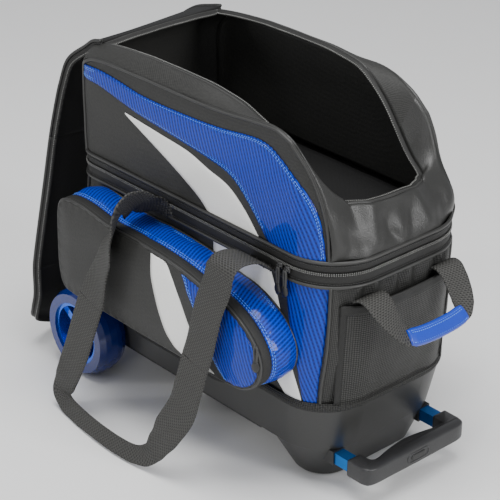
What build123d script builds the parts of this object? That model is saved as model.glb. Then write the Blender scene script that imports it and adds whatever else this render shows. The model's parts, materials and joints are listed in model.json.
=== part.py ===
from build123d import *
from math import cos, radians, sin
import os

# A two-ball roller bag. +X is the telescoping-handle end, -Y the pocket side, +Z up, z = 0 the floor.
# Driving dimensions, mm and degrees.
clear = 0.3               # gap between pieces of different bodies

# sewn body
body_x0, body_x1 = -225.0, 265.0
body_half_w = 122.0
corner_r, corner_r_left = 70.0, 36.0
wall_t = 5.0
seam_y, seam_y_left = 101.5, 116.0   # where the end panels meet the front and back panels
hem_low, hem_end = 100.0, 128.0
hem_rise_x0, hem_rise_x1 = 45.0, 150.0
arch_drop_x0, arch_drop_x1 = -128.0, -104.0
band_z0, band_h = 303.0, 21.0
tape_gap = 0.8            # between the two halves of the main zip
binding_t, binding_h = 1.6, 11.0
piping_r = 2.0

# moulded base
tub_wall = 3.0
tub_floor_z = 56.0
tub_draft_w, tub_draft_x = 6.0, 22.0
boss_x0, boss_x1, boss_half_w, boss_z, boss_r = 146.0, 222.0, 88.0, 4.0, 36.0
boss_lean = 32.0
pad_inset = 8.0
board_t = 4.0
ball_r = 109.0
cup_r, cup_h = 84.0, 30.0
cup_x = (-100.0, 124.0)

# wheels
wheel_r, wheel_w = 63.5, 44.0
wheel_x, wheel_y = body_x0 - 40.5 + wheel_r, body_half_w + 15.0
crown = 5.5
hub_r = 45.0
axle_r = 4.0
bearing_r, bearing_w = 11.0, 7.0
running = 0.05            # radial running clearance on the axle
arch_gap = 6.0
hem_arch = 2 * wheel_r + 15.0   # the fabric's edge passes over the wheels

# telescoping handle
tube_y, tube_s, tube_wall = 77.0, 16.0, 1.3
tube_z = tub_floor_z - 3.4 - tube_s / 2   # the sleeves sit just under the tub's floor
tube_x0, tube_x1 = -165.0, 281.0
sleeve_gap, sleeve_wall = 0.5, 1.5
sleeve_x0, sleeve_x1 = -178.0, 205.0
collar_len = 35.0
grip_x0, grip_x1, grip_split = 265.0, 304.0, 294.0
grip_half_l, grip_h, arm_w = 89.0, 24.0, 24.0
button_l, button_h, button_travel = 26.0, 8.0, 2.5

# shoe compartment, outline seen from the front
shoe_z1 = 476.0
shoe_left_r = 46.0
shoe_right_r = 88.0 * min(1, (shoe_z1 - band_z0 - band_h) / 152)
rim_half_w = 96.0
rim_x0 = -186.0
rim_drop = 5.0            # how far the rim lies below the closed lid
divider_t = 5.0

# lid, laid out closed and then folded open
lid_half_w, lid_tip_half_w, lid_t = 102.0, 70.0, 5.0
lid_x0, lid_z = -254.0, shoe_z1 + 4.5
lid_runs = (316.0, 94.0, 65.0)
lid_closed_dirs = (0.0, -20.0, -44.0)
lid_axis_x, lid_axis_z = -256.0, shoe_z1 - 3.5
lid_skew = -8.5
lid_fold, lid_mid_bend, lid_tip_bend = 261.0, 26.0, -5.0

# front pocket
pocket_x0, pocket_x1 = -186.0, 215.0
pocket_z0, pocket_z1 = 152.0, 292.0
pocket_depth, pocket_t = 63.0, 3.0
pocket_r_left, pocket_r_top, pocket_r_low = 20.0, 98.0, 38.0

# webbing
web_w, web_t = 50.0, 3.0
shoulder_y, shoulder_z = body_half_w + pocket_depth + 7.0, 316.0
grab_pivot = (269.0, 284.0)
grab_y, grab_half_l, grab_w = 63.0, 62.0, 42.0

# mesh pocket
mesh_z0, mesh_z1, mesh_bulge, mesh_half_w, mesh_t = 130.0, 270.0, 13.0, 98.0, 2.0

os.makedirs("parts", exist_ok=True)


def save(name, solids):
    """Write one node; a list becomes a group of separate solids."""
    shape = Compound(children=list(solids)) if isinstance(solids, (list, tuple)) else solids
    export_step(shape, f"parts/{name}.step")


def block(x0, x1, y0, y1, z0, z1):
    return Pos((x0 + x1) / 2, (y0 + y1) / 2, (z0 + z1) / 2) * Box(x1 - x0, y1 - y0, z1 - z0)


def plan(x0, x1, half_w, r, z, r_left=None):
    """Rounded rectangle in the plane at height z; r_left rounds its two left corners."""
    box = Rectangle(x1 - x0, 2 * half_w)
    groups = box.vertices().group_by(Axis.X)
    box = fillet(groups[0], r if r_left is None else r_left)
    box = fillet(box.vertices().group_by(Axis.X)[-1], r)
    return Pos((x0 + x1) / 2, 0, z) * box


def prism(x0, x1, half_w, r, z0, z1, r_left=None):
    return extrude(plan(x0, x1, half_w, r, z0, r_left), z1 - z0)


def body_prism(z0, z1, grow=0.0):
    """The sewn body's plan, grown outwards by grow."""
    return prism(body_x0 - grow, body_x1 + grow, body_half_w + grow, corner_r + grow, z0, z1,
                 corner_r_left + grow)


def body_ring(z0, z1, outer=0.0, inner=-wall_t):
    return body_prism(z0, z1, outer) - body_prism(z0 - 1, z1 + 1, inner)


def cyl_y(x, y0, y1, z, r):
    """Round bar along Y."""
    return Plane((x, y0, z), x_dir=(1, 0, 0), z_dir=(0, 1, 0)) * extrude(Circle(r), y1 - y0)


def mirrored(solid):
    return mirror(solid, about=Plane.XZ)


def side_extrude(sketch, half_w):
    """Sketch drawn as X, Z, extruded both ways along Y."""
    return extrude(Plane.XZ * sketch, half_w, both=True)


# ---------------------------------------------------------------- base tub
def hem_region(above):
    """Everything above or below the line where fabric meets the tub."""
    x_lo, x_hi = body_x0 - 60, body_x1 + 60
    line = [(x_lo, hem_arch), (arch_drop_x0, hem_arch), (arch_drop_x1, hem_low),
            (hem_rise_x0, hem_low), (hem_rise_x1, hem_end), (x_hi, hem_end)]
    edge_z = 700 if above else -100
    return side_extrude(Polygon(*line, (x_hi, edge_z), (x_lo, edge_z), align=None), body_half_w + 80)


def tub_loft(inset, z0, z1):
    """Drafted outer or inner form of the tub between two heights."""
    def section(z):
        k = 1 - (z - tub_floor_z) / (hem_arch - tub_floor_z)
        return plan(body_x0 + 3 * k + inset, body_x1 - tub_draft_x * k - inset,
                    body_half_w - tub_draft_w * k - inset, corner_r - 6 * k - inset, z,
                    corner_r_left - inset)
    return loft([section(z0), section(z1)])


def boss_loft(inset, z0, z1):
    """The deep end of the tub, where the tubes come out above the skid pad."""
    def section(z):
        k = (z - boss_z) / (tub_floor_z - boss_z)
        return plan(boss_x0 - boss_lean * k + inset, boss_x1 + (body_x1 - tub_draft_x - boss_x1) * k - inset,
                    boss_half_w + (body_half_w - tub_draft_w - boss_half_w) * k - inset,
                    boss_r + (corner_r - 6 - boss_r) * k - inset, z)
    return loft([section(z0), section(z1)])


def tube_bars(x0, x1, side, y_list=(-tube_y, tube_y)):
    return [block(x0, x1, y - side / 2, y + side / 2, tube_z - side / 2, tube_z + side / 2)
            for y in y_list]


def base_tub():
    arch_wall_y = wheel_y - wheel_w / 2 - arch_gap + 1
    pan_r = wheel_r + arch_gap + tub_wall
    shell = tub_loft(0, tub_floor_z, hem_arch) - tub_loft(tub_wall, tub_floor_z + tub_wall, hem_arch + 1)
    boss = boss_loft(0, boss_z, tub_floor_z) - boss_loft(tub_wall, boss_z + tub_wall, tub_floor_z + 1)
    solid_form = tub_loft(0, tub_floor_z, hem_arch)
    for side in (-1, 1):
        y0, y1 = sorted((side * (arch_wall_y - tub_wall), side * body_half_w))
        shell += cyl_y(wheel_x, y0, y1, wheel_r, pan_r) & solid_form
        y0, y1 = sorted((side * arch_wall_y, side * (body_half_w + 5)))
        shell -= cyl_y(wheel_x, y0, y1, wheel_r, pan_r - tub_wall)
    shell = shell & hem_region(False)
    tub = shell + boss
    for bar in tube_bars(housing_x1, body_x1 + 10, tube_s + 2 * sleeve_gap + 2 * sleeve_wall):
        tub -= bar
    for side in (-1, 1):
        y0, y1 = sorted((side * (arch_wall_y - 12), side * (arch_wall_y + 1)))
        tub -= cyl_y(wheel_x, y0, y1, wheel_r, axle_r + running)
    return tub


def foot_pad():
    """Rubber skid under the deep end."""
    pad = prism(boss_x0 + pad_inset, boss_x1 - pad_inset, boss_half_w - pad_inset, boss_r - pad_inset,
                0, boss_z)
    return chamfer(pad.faces().sort_by(Axis.Z)[0].edges(), 1.2)


housing_x1 = boss_x0 - boss_lean - 3


def handle_housing():
    """Open tray under the tub's floor that carries the two sleeves."""
    half, z = tube_y + 16, tube_z - tube_s / 2 - sleeve_gap - sleeve_wall
    outer = block(sleeve_x0 - 4, housing_x1, -half, half, z - 2.5, tub_floor_z)
    return outer - block(sleeve_x0, housing_x1 + 1, -half + 2.5, half - 2.5, z, tub_floor_z + 1)


def tube_sleeves():
    inner = tube_s + 2 * sleeve_gap
    outers = tube_bars(sleeve_x0, sleeve_x1, inner + 2 * sleeve_wall)
    bores = tube_bars(sleeve_x0 + 2, sleeve_x1 + 1, inner)
    return [o - b for o, b in zip(outers, bores)]


def tube_collars():
    outers = tube_bars(sleeve_x1, sleeve_x1 + collar_len, tube_s + 2 * sleeve_gap + 2 * sleeve_wall)
    bores = tube_bars(sleeve_x1 - 1, sleeve_x1 + collar_len + 1, tube_s + 2 * clear)
    return [o - b for o, b in zip(outers, bores)]


def floor_board():
    z0 = tub_floor_z + tub_wall
    return prism(wheel_x + 12, body_x1 - tub_draft_x - 12, 104, 56, z0, z0 + board_t, 20)


def ball_cups():
    z0 = tub_floor_z + tub_wall + board_t
    cups = []
    for x in cup_x:
        ring = Pos(x, 0, z0 + cup_h / 2) * Cylinder(cup_r, cup_h)
        cups.append(ring - Pos(x, 0, z0 + 3 + ball_r) * Sphere(ball_r))
    return cups


# ---------------------------------------------------------------- ball compartment
def half_space_y(side):
    """Front (side -1) or back (side 1) of the seams."""
    far = []
    for x0, x1, seam in ((-600, 0, seam_y_left), (0, 600, seam_y)):
        y0, y1 = sorted((side * seam, side * 400))
        far.append(block(x0, x1, y0, y1, -10, 700))
    return far[0] + far[1]


def between_seams(x0=-600, x1=600):
    left = block(x0, min(x1, 0), -seam_y_left, seam_y_left, -10, 700) if x0 < 0 else None
    right = block(max(x0, 0), x1, -seam_y, seam_y, -10, 700) if x1 > 0 else None
    return left + right if left and right else left or right


def wall_ring():
    return body_ring(hem_low, band_z0) & hem_region(True)


def wall_piping():
    """Welt down each of the four seams."""
    def in_from_end(r, seam):
        return r - (r ** 2 - (seam - body_half_w + r) ** 2) ** 0.5
    welts = []
    for x, z0, seam in ((body_x0 + in_from_end(corner_r_left, seam_y_left), hem_arch, seam_y_left),
                        (body_x1 - in_from_end(corner_r, seam_y), hem_end, seam_y)):
        for y in (-seam, seam):
            rod = Pos(x, y, 0) * extrude(Circle(piping_r), band_z0)
            welts.append((rod & block(x - 9, x + 9, y - 9, y + 9, z0, band_z0)) - body_prism(0, 400))
    return welts


def tub_binding():
    """Textured tape that covers the tub's edge, following its steps."""
    ring = body_ring(hem_low - binding_h, hem_arch + 2, binding_t, 0.0)
    low = Pos(0, 0, -binding_h) * hem_region(False)
    return (ring & hem_region(False)) - low - block(-300, arch_drop_x1, -200, 200, 0, 300)


def main_zip_lower():
    ring = body_ring(band_z0, band_z0 + (band_h - tape_gap) / 2, 1.0, -wall_t)
    return ring - half_space_y(1)


def fold_hinge_strip():
    """Fabric along the back that the shoe compartment folds on."""
    return block(body_x0 + corner_r_left, body_x1 - corner_r, body_half_w - wall_t, body_half_w,
                 band_z0, band_z0 + (band_h - tape_gap) / 2)


# ---------------------------------------------------------------- pocket
def pocket_outline(inset):
    """Front outline of the pocket as X, Z with four different corners."""
    x0, x1 = pocket_x0 + inset, pocket_x1 - inset
    z0, z1 = pocket_z0 + inset, pocket_z1 - inset
    box = Pos((x0 + x1) / 2, (z0 + z1) / 2) * Rectangle(x1 - x0, z1 - z0)
    left = box.vertices().group_by(Axis.X)[0]
    right = box.vertices().group_by(Axis.X)[-1].sort_by(Axis.Y)
    box = fillet(left, pocket_r_left - inset)
    right = box.vertices().group_by(Axis.X)[-1].sort_by(Axis.Y)
    box = fillet([v for v in right if abs(v.Y - z1) < 0.1], pocket_r_top - inset)
    low = [v for v in box.vertices() if abs(v.Y - z0) < 0.1 and abs(v.X - x1) < 0.1]
    return fillet(low, pocket_r_low - inset)


def pocket_solid(inset, y0, y1):
    """The outline extruded between two distances in front of the centre plane."""
    return Plane((0, -y0, 0), x_dir=(1, 0, 0), z_dir=(0, -1, 0)) * extrude(pocket_outline(inset), y1 - y0)


pocket_y1 = body_half_w + pocket_depth


def pocket_gusset():
    ring = pocket_solid(0, body_half_w, pocket_y1 - pocket_t)
    return ring - pocket_solid(pocket_t, body_half_w - 1, pocket_y1)


def pocket_zip():
    band = pocket_solid(-1.2, pocket_y1 - 20, pocket_y1 - 8) - pocket_solid(0, pocket_y1 - 21, pocket_y1)
    return band & block(pocket_x0, pocket_x1 + 5, -300, 0, pocket_z1 - 70, pocket_z1 + 9)


# ---------------------------------------------------------------- mesh pocket
def mesh_pocket():
    """Net panel bowed off the end wall, joined at its foot and sides, open at the top."""
    def shifted(x, z0, z1):
        return prism(body_x0, body_x1 + x, body_half_w, corner_r, z0, z1)
    outer = shifted(mesh_bulge, mesh_z0, mesh_z1) - body_prism(0, 400)
    hollow = shifted(mesh_bulge - mesh_t, mesh_z0 + 3, mesh_z1 + 1) - body_prism(0, 400)
    side = block(150, 400, -mesh_half_w, mesh_half_w, 0, 400)
    inner_side = block(150, 400, -mesh_half_w + 3, mesh_half_w - 3, 0, 400)
    pocket = (outer & side) - (hollow & inner_side)
    return pocket.solids().sort_by(SortBy.VOLUME)[-1]


# ---------------------------------------------------------------- straps
def run(p, q, across, width, lead, trail):
    """Flat webbing from p to q, its width along across, carried on by lead and trail."""
    a, b = Vector(*p), Vector(*q)
    d = (b - a).normalized()
    side = Vector(*across)
    side = (side - d * side.dot(d)).normalized()
    plane = Plane(a - d * lead, x_dir=side, z_dir=d)
    return plane * extrude(Rectangle(width, web_t), (b - a).length + lead + trail)


def strap_chain(points, across, width=web_w, ends=0.0):
    """Webbing through the points; inner joins overlap a little so that it stays one solid."""
    solid = None
    last = len(points) - 2
    for i, (p, q) in enumerate(zip(points, points[1:])):
        piece = run(p, q, across, width, 1.2 if i else ends, 1.2 if i < last else ends)
        solid = piece if solid is None else solid + piece
    return solid


strap_x = (-48.0, 148.0)
fold_z = 112.0            # where each strap bends
back_z = 288.0            # the back strap hangs lower


def hanging(points):
    """Strap points given as (x, distance out from the shoulder, z)."""
    return [(x, -shoulder_y - out, z) for x, out, z in points]


left_leg = hanging([(strap_x[0], 0, shoulder_z), (-70, 9, 245), (-92, 16, 178), (-110, 26, fold_z)])
right_leg = hanging([(strap_x[1], 0, shoulder_z), (137, 7, 262), (122, 16, 190), (103, 26, fold_z)])
left_low = hanging([(-111, 26.6, fold_z - 4), (-130, 34, 54), (-150, 30, 12)])
right_low = hanging([(102, 26.6, fold_z - 4), (86, 35, 68), (56, 40, 14)])
floor_line = hanging([(-158, 22, 13), (-120, 40, 14), (-50, 48, 15), (0, 49, 15), (50, 41, 13)])


def front_strap_roots():
    """The short arches that are sewn under the band and stand out over the pocket."""
    arches = []
    for x in strap_x:
        pts = [(x, -body_half_w - 0.8, pocket_z1 + 3.2), (x, -body_half_w - 24, 315),
               (x, 22 - shoulder_y, 322),
               (x, -shoulder_y + 2.4, shoulder_z + 1.6)]
        arches.append(strap_chain(pts, (1, 0, 0)) - body_prism(0, 400))
    return arches


def back_strap_roots():
    """As at the front, but low enough for the shoe compartment to fold back over them."""
    arches = []
    for x in strap_x:
        pts = [(x, body_half_w + 1.5, 256), (x, body_half_w + 2.2, 274), (x, body_half_w + 18, 292),
               (x, shoulder_y - 26, back_z + 9),
               (x, shoulder_y - 4, back_z + 6.5)]
        arches.append(strap_chain(pts, (1, 0, 0)))
    return arches


def front_strap_legs():
    above = block(-400, 400, -400, 400, shoulder_z + 0.3, 700)
    return [strap_chain(leg, (1, 0, 0)) - above for leg in (left_leg, right_leg)]


def front_strap_loop():
    """Lower legs and the stretch that lies along the floor, turned on edge at both twists."""
    left = strap_chain(left_low, (1, 0.1, 0))
    right = strap_chain(right_low, (1, -0.1, 0))
    return left + right + strap_chain(floor_line, (0, 0.45, 1), 24)


def back_strap_legs():
    left = [(strap_x[0], -shoulder_y, back_z)] + left_leg[1:]
    right = [(strap_x[1], -shoulder_y, back_z)] + right_leg[1:]
    above = block(-400, 400, -400, 400, back_z + 0.3, 700)
    return [mirrored(strap_chain(leg, (1, 0, 0)) - above) for leg in (left, right)]


# ---------------------------------------------------------------- grab handle
def grab_webbing():
    x, z = grab_pivot
    legs = []
    for s in (-1, 1):
        legs.append(strap_chain([(x + 12, s * grab_y, z - 4), (x + 34, s * grab_y, z - 22),
                                 (x + 55, s * grab_y, z - 44)], (0, 1, 0), grab_w))
    core = block(x + 48, x + 60, -grab_y, grab_y, z - 45.5, z - 42.5)
    return legs[0] + legs[1] + core


def grab_roots():
    """Webbing ends sewn to the end wall just above the net pocket."""
    x, z = grab_pivot
    roots = [strap_chain([(x - 9, s * grab_y, z + 9), (x + 2, s * grab_y, z + 4),
                          (x + 9.6, s * grab_y, z - 2)], (0, 1, 0), grab_w) for s in (-1, 1)]
    return [r - body_prism(0, 400) for r in roots]


def grab_grip():
    x, z = grab_pivot
    bar = block(x + 44, x + 64, -grab_half_l + 22, grab_half_l - 22, z - 51, z - 37)
    bar = fillet(bar.edges().filter_by(Axis.Y), 5)
    return bar - block(x + 47.5, x + 60.5, -grab_y, grab_y, z - 46, z - 42)


# ---------------------------------------------------------------- shoe compartment
shoe_z0 = band_z0 + (band_h + tape_gap) / 2
shoe_shell_z0 = band_z0 + band_h


def shoe_outline(inset):
    """Side outline of the shoe compartment as X, Z."""
    x0, x1 = body_x0 + inset, body_x1 - 8 - inset
    z0, z1 = shoe_shell_z0, shoe_z1 - inset
    box = Pos((x0 + x1) / 2, (z0 + z1) / 2) * Rectangle(x1 - x0, z1 - z0)
    top = [v for v in box.vertices() if abs(v.Y - z1) < 0.1]
    left = min(top, key=lambda v: v.X)
    box = fillet(left, shoe_left_r - inset)
    right = [v for v in box.vertices() if abs(v.Y - z1) < 0.1 and abs(v.X - x1) < 0.1]
    return fillet(right, shoe_right_r - inset)


def shoe_form(inset):
    grown = body_prism(shoe_shell_z0 - 2, shoe_z1 + 5, -inset)
    return side_extrude(shoe_outline(inset), body_half_w + 10) & grown


def lid_line(below):
    """Corners of the closed lid's under side, lowered by below."""
    x, z = lid_x0, lid_z - below
    pts = [(x, z)]
    for length, turn in zip(lid_runs, lid_closed_dirs):
        x, z = x + length * cos(radians(turn)), z + length * sin(radians(turn))
        pts.append((x, z))
    return pts


def above_rim(drop):
    """Everything above the line that the closed lid lies on, lowered by drop."""
    pts = lid_line(drop)
    return Polygon((-400, pts[0][1]), *pts[:-1], (pts[-1][0] + 40, pts[-1][1] - 57), (400, 700),
                   (-400, 700), align=None)


def shoe_shell():
    """Upright walls, and the top that carries the opening's rim."""
    shell = shoe_form(0) - shoe_form(wall_t)
    inside = body_half_w - wall_t
    dip = side_extrude(above_rim(rim_drop), inside)
    top = (shoe_form(0) & side_extrude(above_rim(rim_drop + wall_t), inside)) - dip
    opening = block(rim_x0, 400, -rim_half_w, rim_half_w, lid_line(0)[-1][1] - 2, 700)
    return shell - dip - top, top - opening


def shoe_floor():
    return body_prism(shoe_shell_z0 - divider_t, shoe_shell_z0, -wall_t)


def main_zip_upper():
    return body_ring(shoe_z0, shoe_shell_z0, 1.0, -wall_t)


def shoe_piping():
    """Welt round the edge of the front and back panels."""
    path = side_extrude(shoe_outline(-1.6), 1.6) - side_extrude(shoe_outline(0), 3)
    path = path - block(-400, 400, -5, 5, 0, shoe_shell_z0 + corner_r * 0.1)
    keep = block(body_x0 + corner_r_left, body_x1 - corner_r, -5, 5, 0, 700)
    strip = path & keep
    return [Pos(0, s * (body_half_w - 5), 0) * strip for s in (-1, 1)]


# ---------------------------------------------------------------- lid
skew = radians(lid_skew)
fold_axis = Axis((lid_axis_x, 0, lid_axis_z), (sin(skew), cos(skew), 0))


def behind_fold_line(gap):
    """Everything left of the skewed fold line, moved right by gap."""
    line = Pos(lid_axis_x + gap - 200, 0) * Rectangle(400, 800)
    return extrude(Pos(lid_axis_x, 0) * Rot(0, 0, -lid_skew) * Pos(-lid_axis_x, 0) * line, 700)


def lid_root():
    """Strip sewn to the compartment's end that reaches out to the lid's fold line."""
    z = shoe_z1 - 0.5
    strip = block(lid_axis_x - 20, rim_x0, -lid_half_w, lid_half_w, z, z + 3.5)
    post = block(body_x0 + 1, body_x0 + shoe_left_r + 2, -lid_half_w + 8, lid_half_w - 8, shoe_z1 - 10, z)
    return ((strip - behind_fold_line(1.5)) + post) - shoe_form(0)


def lid_segment(index):
    """One stiff stretch of the closed lid between two fold lines."""
    (xa, za), (xb, zb) = lid_line(0)[index:index + 2]
    gap = 1.0
    turn = lid_closed_dirs[index]
    plane = Plane((xa, 0, za), x_dir=(cos(radians(turn)), 0, sin(radians(turn))),
                  z_dir=(-sin(radians(turn)), 0, cos(radians(turn))))
    length = lid_runs[index]
    end_half = lid_tip_half_w if index == 2 else lid_half_w
    shape = Polygon((gap, -lid_half_w), (length - gap, -end_half), (length - gap, end_half),
                    (gap, lid_half_w), align=None)
    if index == 2:
        shape = fillet([v for v in shape.vertices() if v.X > length / 2], 34)
    segment = plane * extrude(shape, lid_t)
    return segment - behind_fold_line(1.5) if index == 0 else segment


def opened(segment, index):
    """Move a stretch from the closed lid to where it hangs."""
    line = lid_line(0)
    if index > 1:
        segment = segment.rotate(Axis((line[2][0], 0, line[2][1]), (0, 1, 0)), -lid_tip_bend)
    if index > 0:
        segment = segment.rotate(Axis((line[1][0], 0, line[1][1]), (0, 1, 0)), -lid_mid_bend)
    return segment.rotate(fold_axis, -lid_fold)


# ---------------------------------------------------------------- zips
def slider_at(x, y, z):
    body = Pos(x, y - 2.5, z) * Box(8, 5, 9.4)
    return chamfer(body.edges().filter_by(Axis.Z), 1.5)


slider_z = band_z0 + 4.9
slider_spots = ((181.0, -body_half_w - 1.0), (193.0, -body_half_w - 1.0))
pocket_pull_spot = (206.0, -pocket_y1 - 1.5)
pocket_pull_z = 232.0


def pull(x, y, z, length):
    """Cord pull with a moulded end that hangs from z."""
    cord = Pos(x, y, z - length * 0.35) * Box(3.2, 1.8, length * 0.7)
    end = Pos(x, y, z - length * 0.8) * Box(6.0, 3.4, length * 0.4)
    return cord + fillet(end.edges().filter_by(Axis.Y), 1.6)


# ---------------------------------------------------------------- wheels
def y_revolve(points):
    """Turn a profile of (radius, distance along Y) about the wheel's axle."""
    plane = Plane((wheel_x, 0, wheel_r), x_dir=(1, 0, 0), z_dir=(0, 0, 1))
    profile = plane * Polygon(*points, align=None)
    return revolve(profile, Axis((wheel_x, 0, wheel_r), (0, 1, 0)))


def wheel_tyre():
    half, mid = wheel_w / 2, -wheel_y
    pts = [(hub_r, mid - half), (wheel_r - crown, mid - half), (wheel_r - 1.5, mid - half * 0.62),
           (wheel_r, mid - half * 0.25), (wheel_r, mid + half * 0.25), (wheel_r - 1.5, mid + half * 0.62),
           (wheel_r - crown, mid + half), (hub_r, mid + half)]
    return y_revolve(pts)


def wheel_hub():
    """Rim, five spokes and a bored boss in one casting."""
    mid = -wheel_y
    rim = y_revolve([(hub_r - 5, mid - 19), (hub_r, mid - 19), (hub_r, mid + 19), (hub_r - 5, mid + 19)])
    boss = y_revolve([(0.1, mid - 17), (17, mid - 17), (17, mid + 17), (0.1, mid + 17)])
    spokes = rim + boss
    for k in range(5):
        spoke = Pos(wheel_x, mid, wheel_r) * Rot(0, 72 * k, 0) * Pos((hub_r + 10) / 2, 0, 0) \
            * Box(hub_r - 16, 22, 11)
        spokes += spoke
    for radius, s0, s1 in ((9.0, -18, 18), (bearing_r, -17.5, -6), (bearing_r, 6, 17.5)):
        spokes -= cyl_y(wheel_x, mid + s0, mid + s1, wheel_r, radius)
    return spokes


def wheel_bearings():
    rings = []
    for s in (-6 - bearing_w, 6):
        ring = cyl_y(wheel_x, -wheel_y + s, -wheel_y + s + bearing_w, wheel_r, bearing_r)
        rings.append(ring - cyl_y(wheel_x, -wheel_y + s - 1, -wheel_y + s + 8, wheel_r, axle_r + running))
    return rings


def wheel_cap():
    cap = cyl_y(wheel_x, -wheel_y - 20.5, -wheel_y - 17, wheel_r, 16)
    return fillet(cap.edges().sort_by(Axis.Y)[0], 2.5)


axle_end = wheel_y + 16.4


def axle_nuts():
    nuts = []
    for side in (-1, 1):
        y0, y1 = sorted((side * (axle_end - 2.6), side * axle_end))
        nuts.append(cyl_y(wheel_x, y0, y1, wheel_r, 8) - cyl_y(wheel_x, y0 - 1, y1 + 1, wheel_r, axle_r))
    return nuts


def axle_spacers():
    """Sleeves between the tub's wall and each inner bearing."""
    start = wheel_y - wheel_w / 2 - arch_gap + 1
    stop = wheel_y - 6 - bearing_w - clear
    spacers = []
    for side in (-1, 1):
        y0, y1 = sorted((side * start, side * stop))
        spacers.append(cyl_y(wheel_x, y0, y1, wheel_r, 7)
                       - cyl_y(wheel_x, y0 - 1, y1 + 1, wheel_r, axle_r + running))
    return spacers


def wheel_guard():
    """Clear slotted plate that stands behind the front wheel."""
    plate = block(body_x0 - 9, body_x0 + 20, -96, -72, 62, 96) - tub_loft(0, tub_floor_z, hem_arch)
    return plate - block(body_x0 - 10, body_x0 - 3, -92, -76, 68, 90)


# ---------------------------------------------------------------- telescoping handle
def grip_outline(x0, x1):
    """Grip seen from above: two arms and a bar that is fullest at its middle."""
    reach = grip_x0 + 20
    outer = Pos((grip_x0 + grip_x1) / 2, 0) * RectangleRounded(grip_x1 - grip_x0, 2 * grip_half_l, 7)
    arm_in = grip_half_l - arm_w
    with BuildSketch() as gap:
        with BuildLine():
            Polyline((grip_x0 - 20, -arm_in), (reach, -arm_in + 5))
            ThreePointArc((reach, -arm_in + 5), (reach - 9, 0), (reach, arm_in - 5))
            Polyline((reach, arm_in - 5), (grip_x0 - 20, arm_in), (grip_x0 - 20, -arm_in))
        make_face()
    window = Pos((x0 + x1) / 2, 0) * Rectangle(x1 - x0, 3 * grip_half_l)
    return (outer - gap.sketch) & window


def grip_shell(x0, x1):
    z0 = tube_z - grip_h / 2
    return Pos(0, 0, z0) * extrude(grip_outline(x0, x1), grip_h)


def grip_rear_shell():
    shell = grip_shell(grip_x0, grip_split)
    for bar in tube_bars(grip_x0 - 1, tube_x1, tube_s + 0.2):
        shell -= bar
    shell -= block(grip_split - 6, grip_split + 1, -button_l, button_l, tube_z - 7, tube_z + 7)
    screw_x = (grip_x0 + tube_x1) / 2
    for y in (-tube_y, tube_y):
        shell -= Pos(screw_x, y, tube_z + grip_h / 2 - 0.9) * Cylinder(4.3, 2.0)
    return shell


def button_slot(length, height, x0, x1):
    """Stadium bar along X."""
    plane = Plane((x0, 0, tube_z), x_dir=(0, 1, 0), z_dir=(1, 0, 0))
    return plane * extrude(SlotOverall(length, height), x1 - x0)


def grip_front_shell():
    shell = grip_shell(grip_split, grip_x1)
    shell -= button_slot(button_l + 16, button_h + 7, grip_x1 - 3, grip_x1 + 1)
    return shell - button_slot(button_l + 2 * clear, button_h + 2 * clear, grip_split - 1, grip_x1)


def grip_screws():
    screw_x = (grip_x0 + tube_x1) / 2
    z = tube_z + grip_h / 2
    return [Pos(screw_x, y, z - 0.9) * Cylinder(4.0, 1.8) - Pos(screw_x, y, z) * Box(5, 1, 1)
            for y in (-tube_y, tube_y)]


def release_button():
    return button_slot(button_l, button_h, grip_split - 1.5, grip_x1 - 0.4)


def handle_tubes():
    return [o - b for o, b in zip(tube_bars(tube_x0, tube_x1, tube_s),
                                  tube_bars(tube_x0 - 1, tube_x1 + 1, tube_s - 2 * tube_wall))]


def tube_wear_plugs():
    plugs = []
    for flange, stem in zip(tube_bars(tube_x0 - 5, tube_x0, tube_s + 0.5),
                            tube_bars(tube_x0 - 1, tube_x0 + 14, tube_s - 2 * tube_wall)):
        plugs.append(flange + stem)
    return plugs


# ---------------------------------------------------------------- write every node
walls = wall_ring()
shoe_walls, shoe_top = shoe_shell()

save("base_tub", base_tub())
save("foot_pad", foot_pad())
save("handle_housing", handle_housing())
save("tube_sleeves", tube_sleeves())
save("tube_collars", tube_collars())
save("floor_board", floor_board())
save("ball_cups", ball_cups())
save("front_wall", walls & half_space_y(-1))
save("back_wall", walls & half_space_y(1))
save("wheel_end_wall", walls & between_seams(-600, 0))
save("handle_end_wall", walls & between_seams(0, 600))
save("wall_piping", wall_piping())
save("tub_binding", tub_binding())
save("main_zip_lower", main_zip_lower())
save("fold_hinge_strip", fold_hinge_strip())
save("pocket_front_panel", pocket_solid(0, pocket_y1 - pocket_t, pocket_y1))
save("pocket_gusset", pocket_gusset())
save("pocket_zip", pocket_zip())
save("mesh_pocket", mesh_pocket())
save("wheel_guard", wheel_guard())
save("front_strap_roots", front_strap_roots())
save("back_strap_roots", back_strap_roots())
save("grab_roots", grab_roots())
save("zip_sliders", [slider_at(x, y, slider_z) for x, y in slider_spots])

save("shoe_front_panel", shoe_walls & half_space_y(-1))
save("shoe_back_panel", shoe_walls & half_space_y(1))
save("shoe_gusset", (shoe_walls & between_seams()) + shoe_top)
save("lid_root", lid_root())
save("shoe_floor", shoe_floor())
save("shoe_piping", shoe_piping())
save("main_zip_upper", main_zip_upper())

for index, name in enumerate(("lid_long_panel", "lid_middle_panel", "lid_tip_panel")):
    save(name, opened(lid_segment(index), index))

save("front_strap_legs", front_strap_legs())
save("front_strap_loop", front_strap_loop())
save("back_strap_legs", back_strap_legs())
save("back_strap_loop", mirrored(front_strap_loop()))
save("grab_webbing", grab_webbing())
save("grab_grip", grab_grip())

for name, (x, y) in zip(("main_pull_left", "main_pull_right"), slider_spots):
    save(name, pull(x + 1, y - 7.4, slider_z + 1, 36))
save("pocket_pull", pull(pocket_pull_spot[0], pocket_pull_spot[1] - 1, pocket_pull_z, 36))

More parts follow.
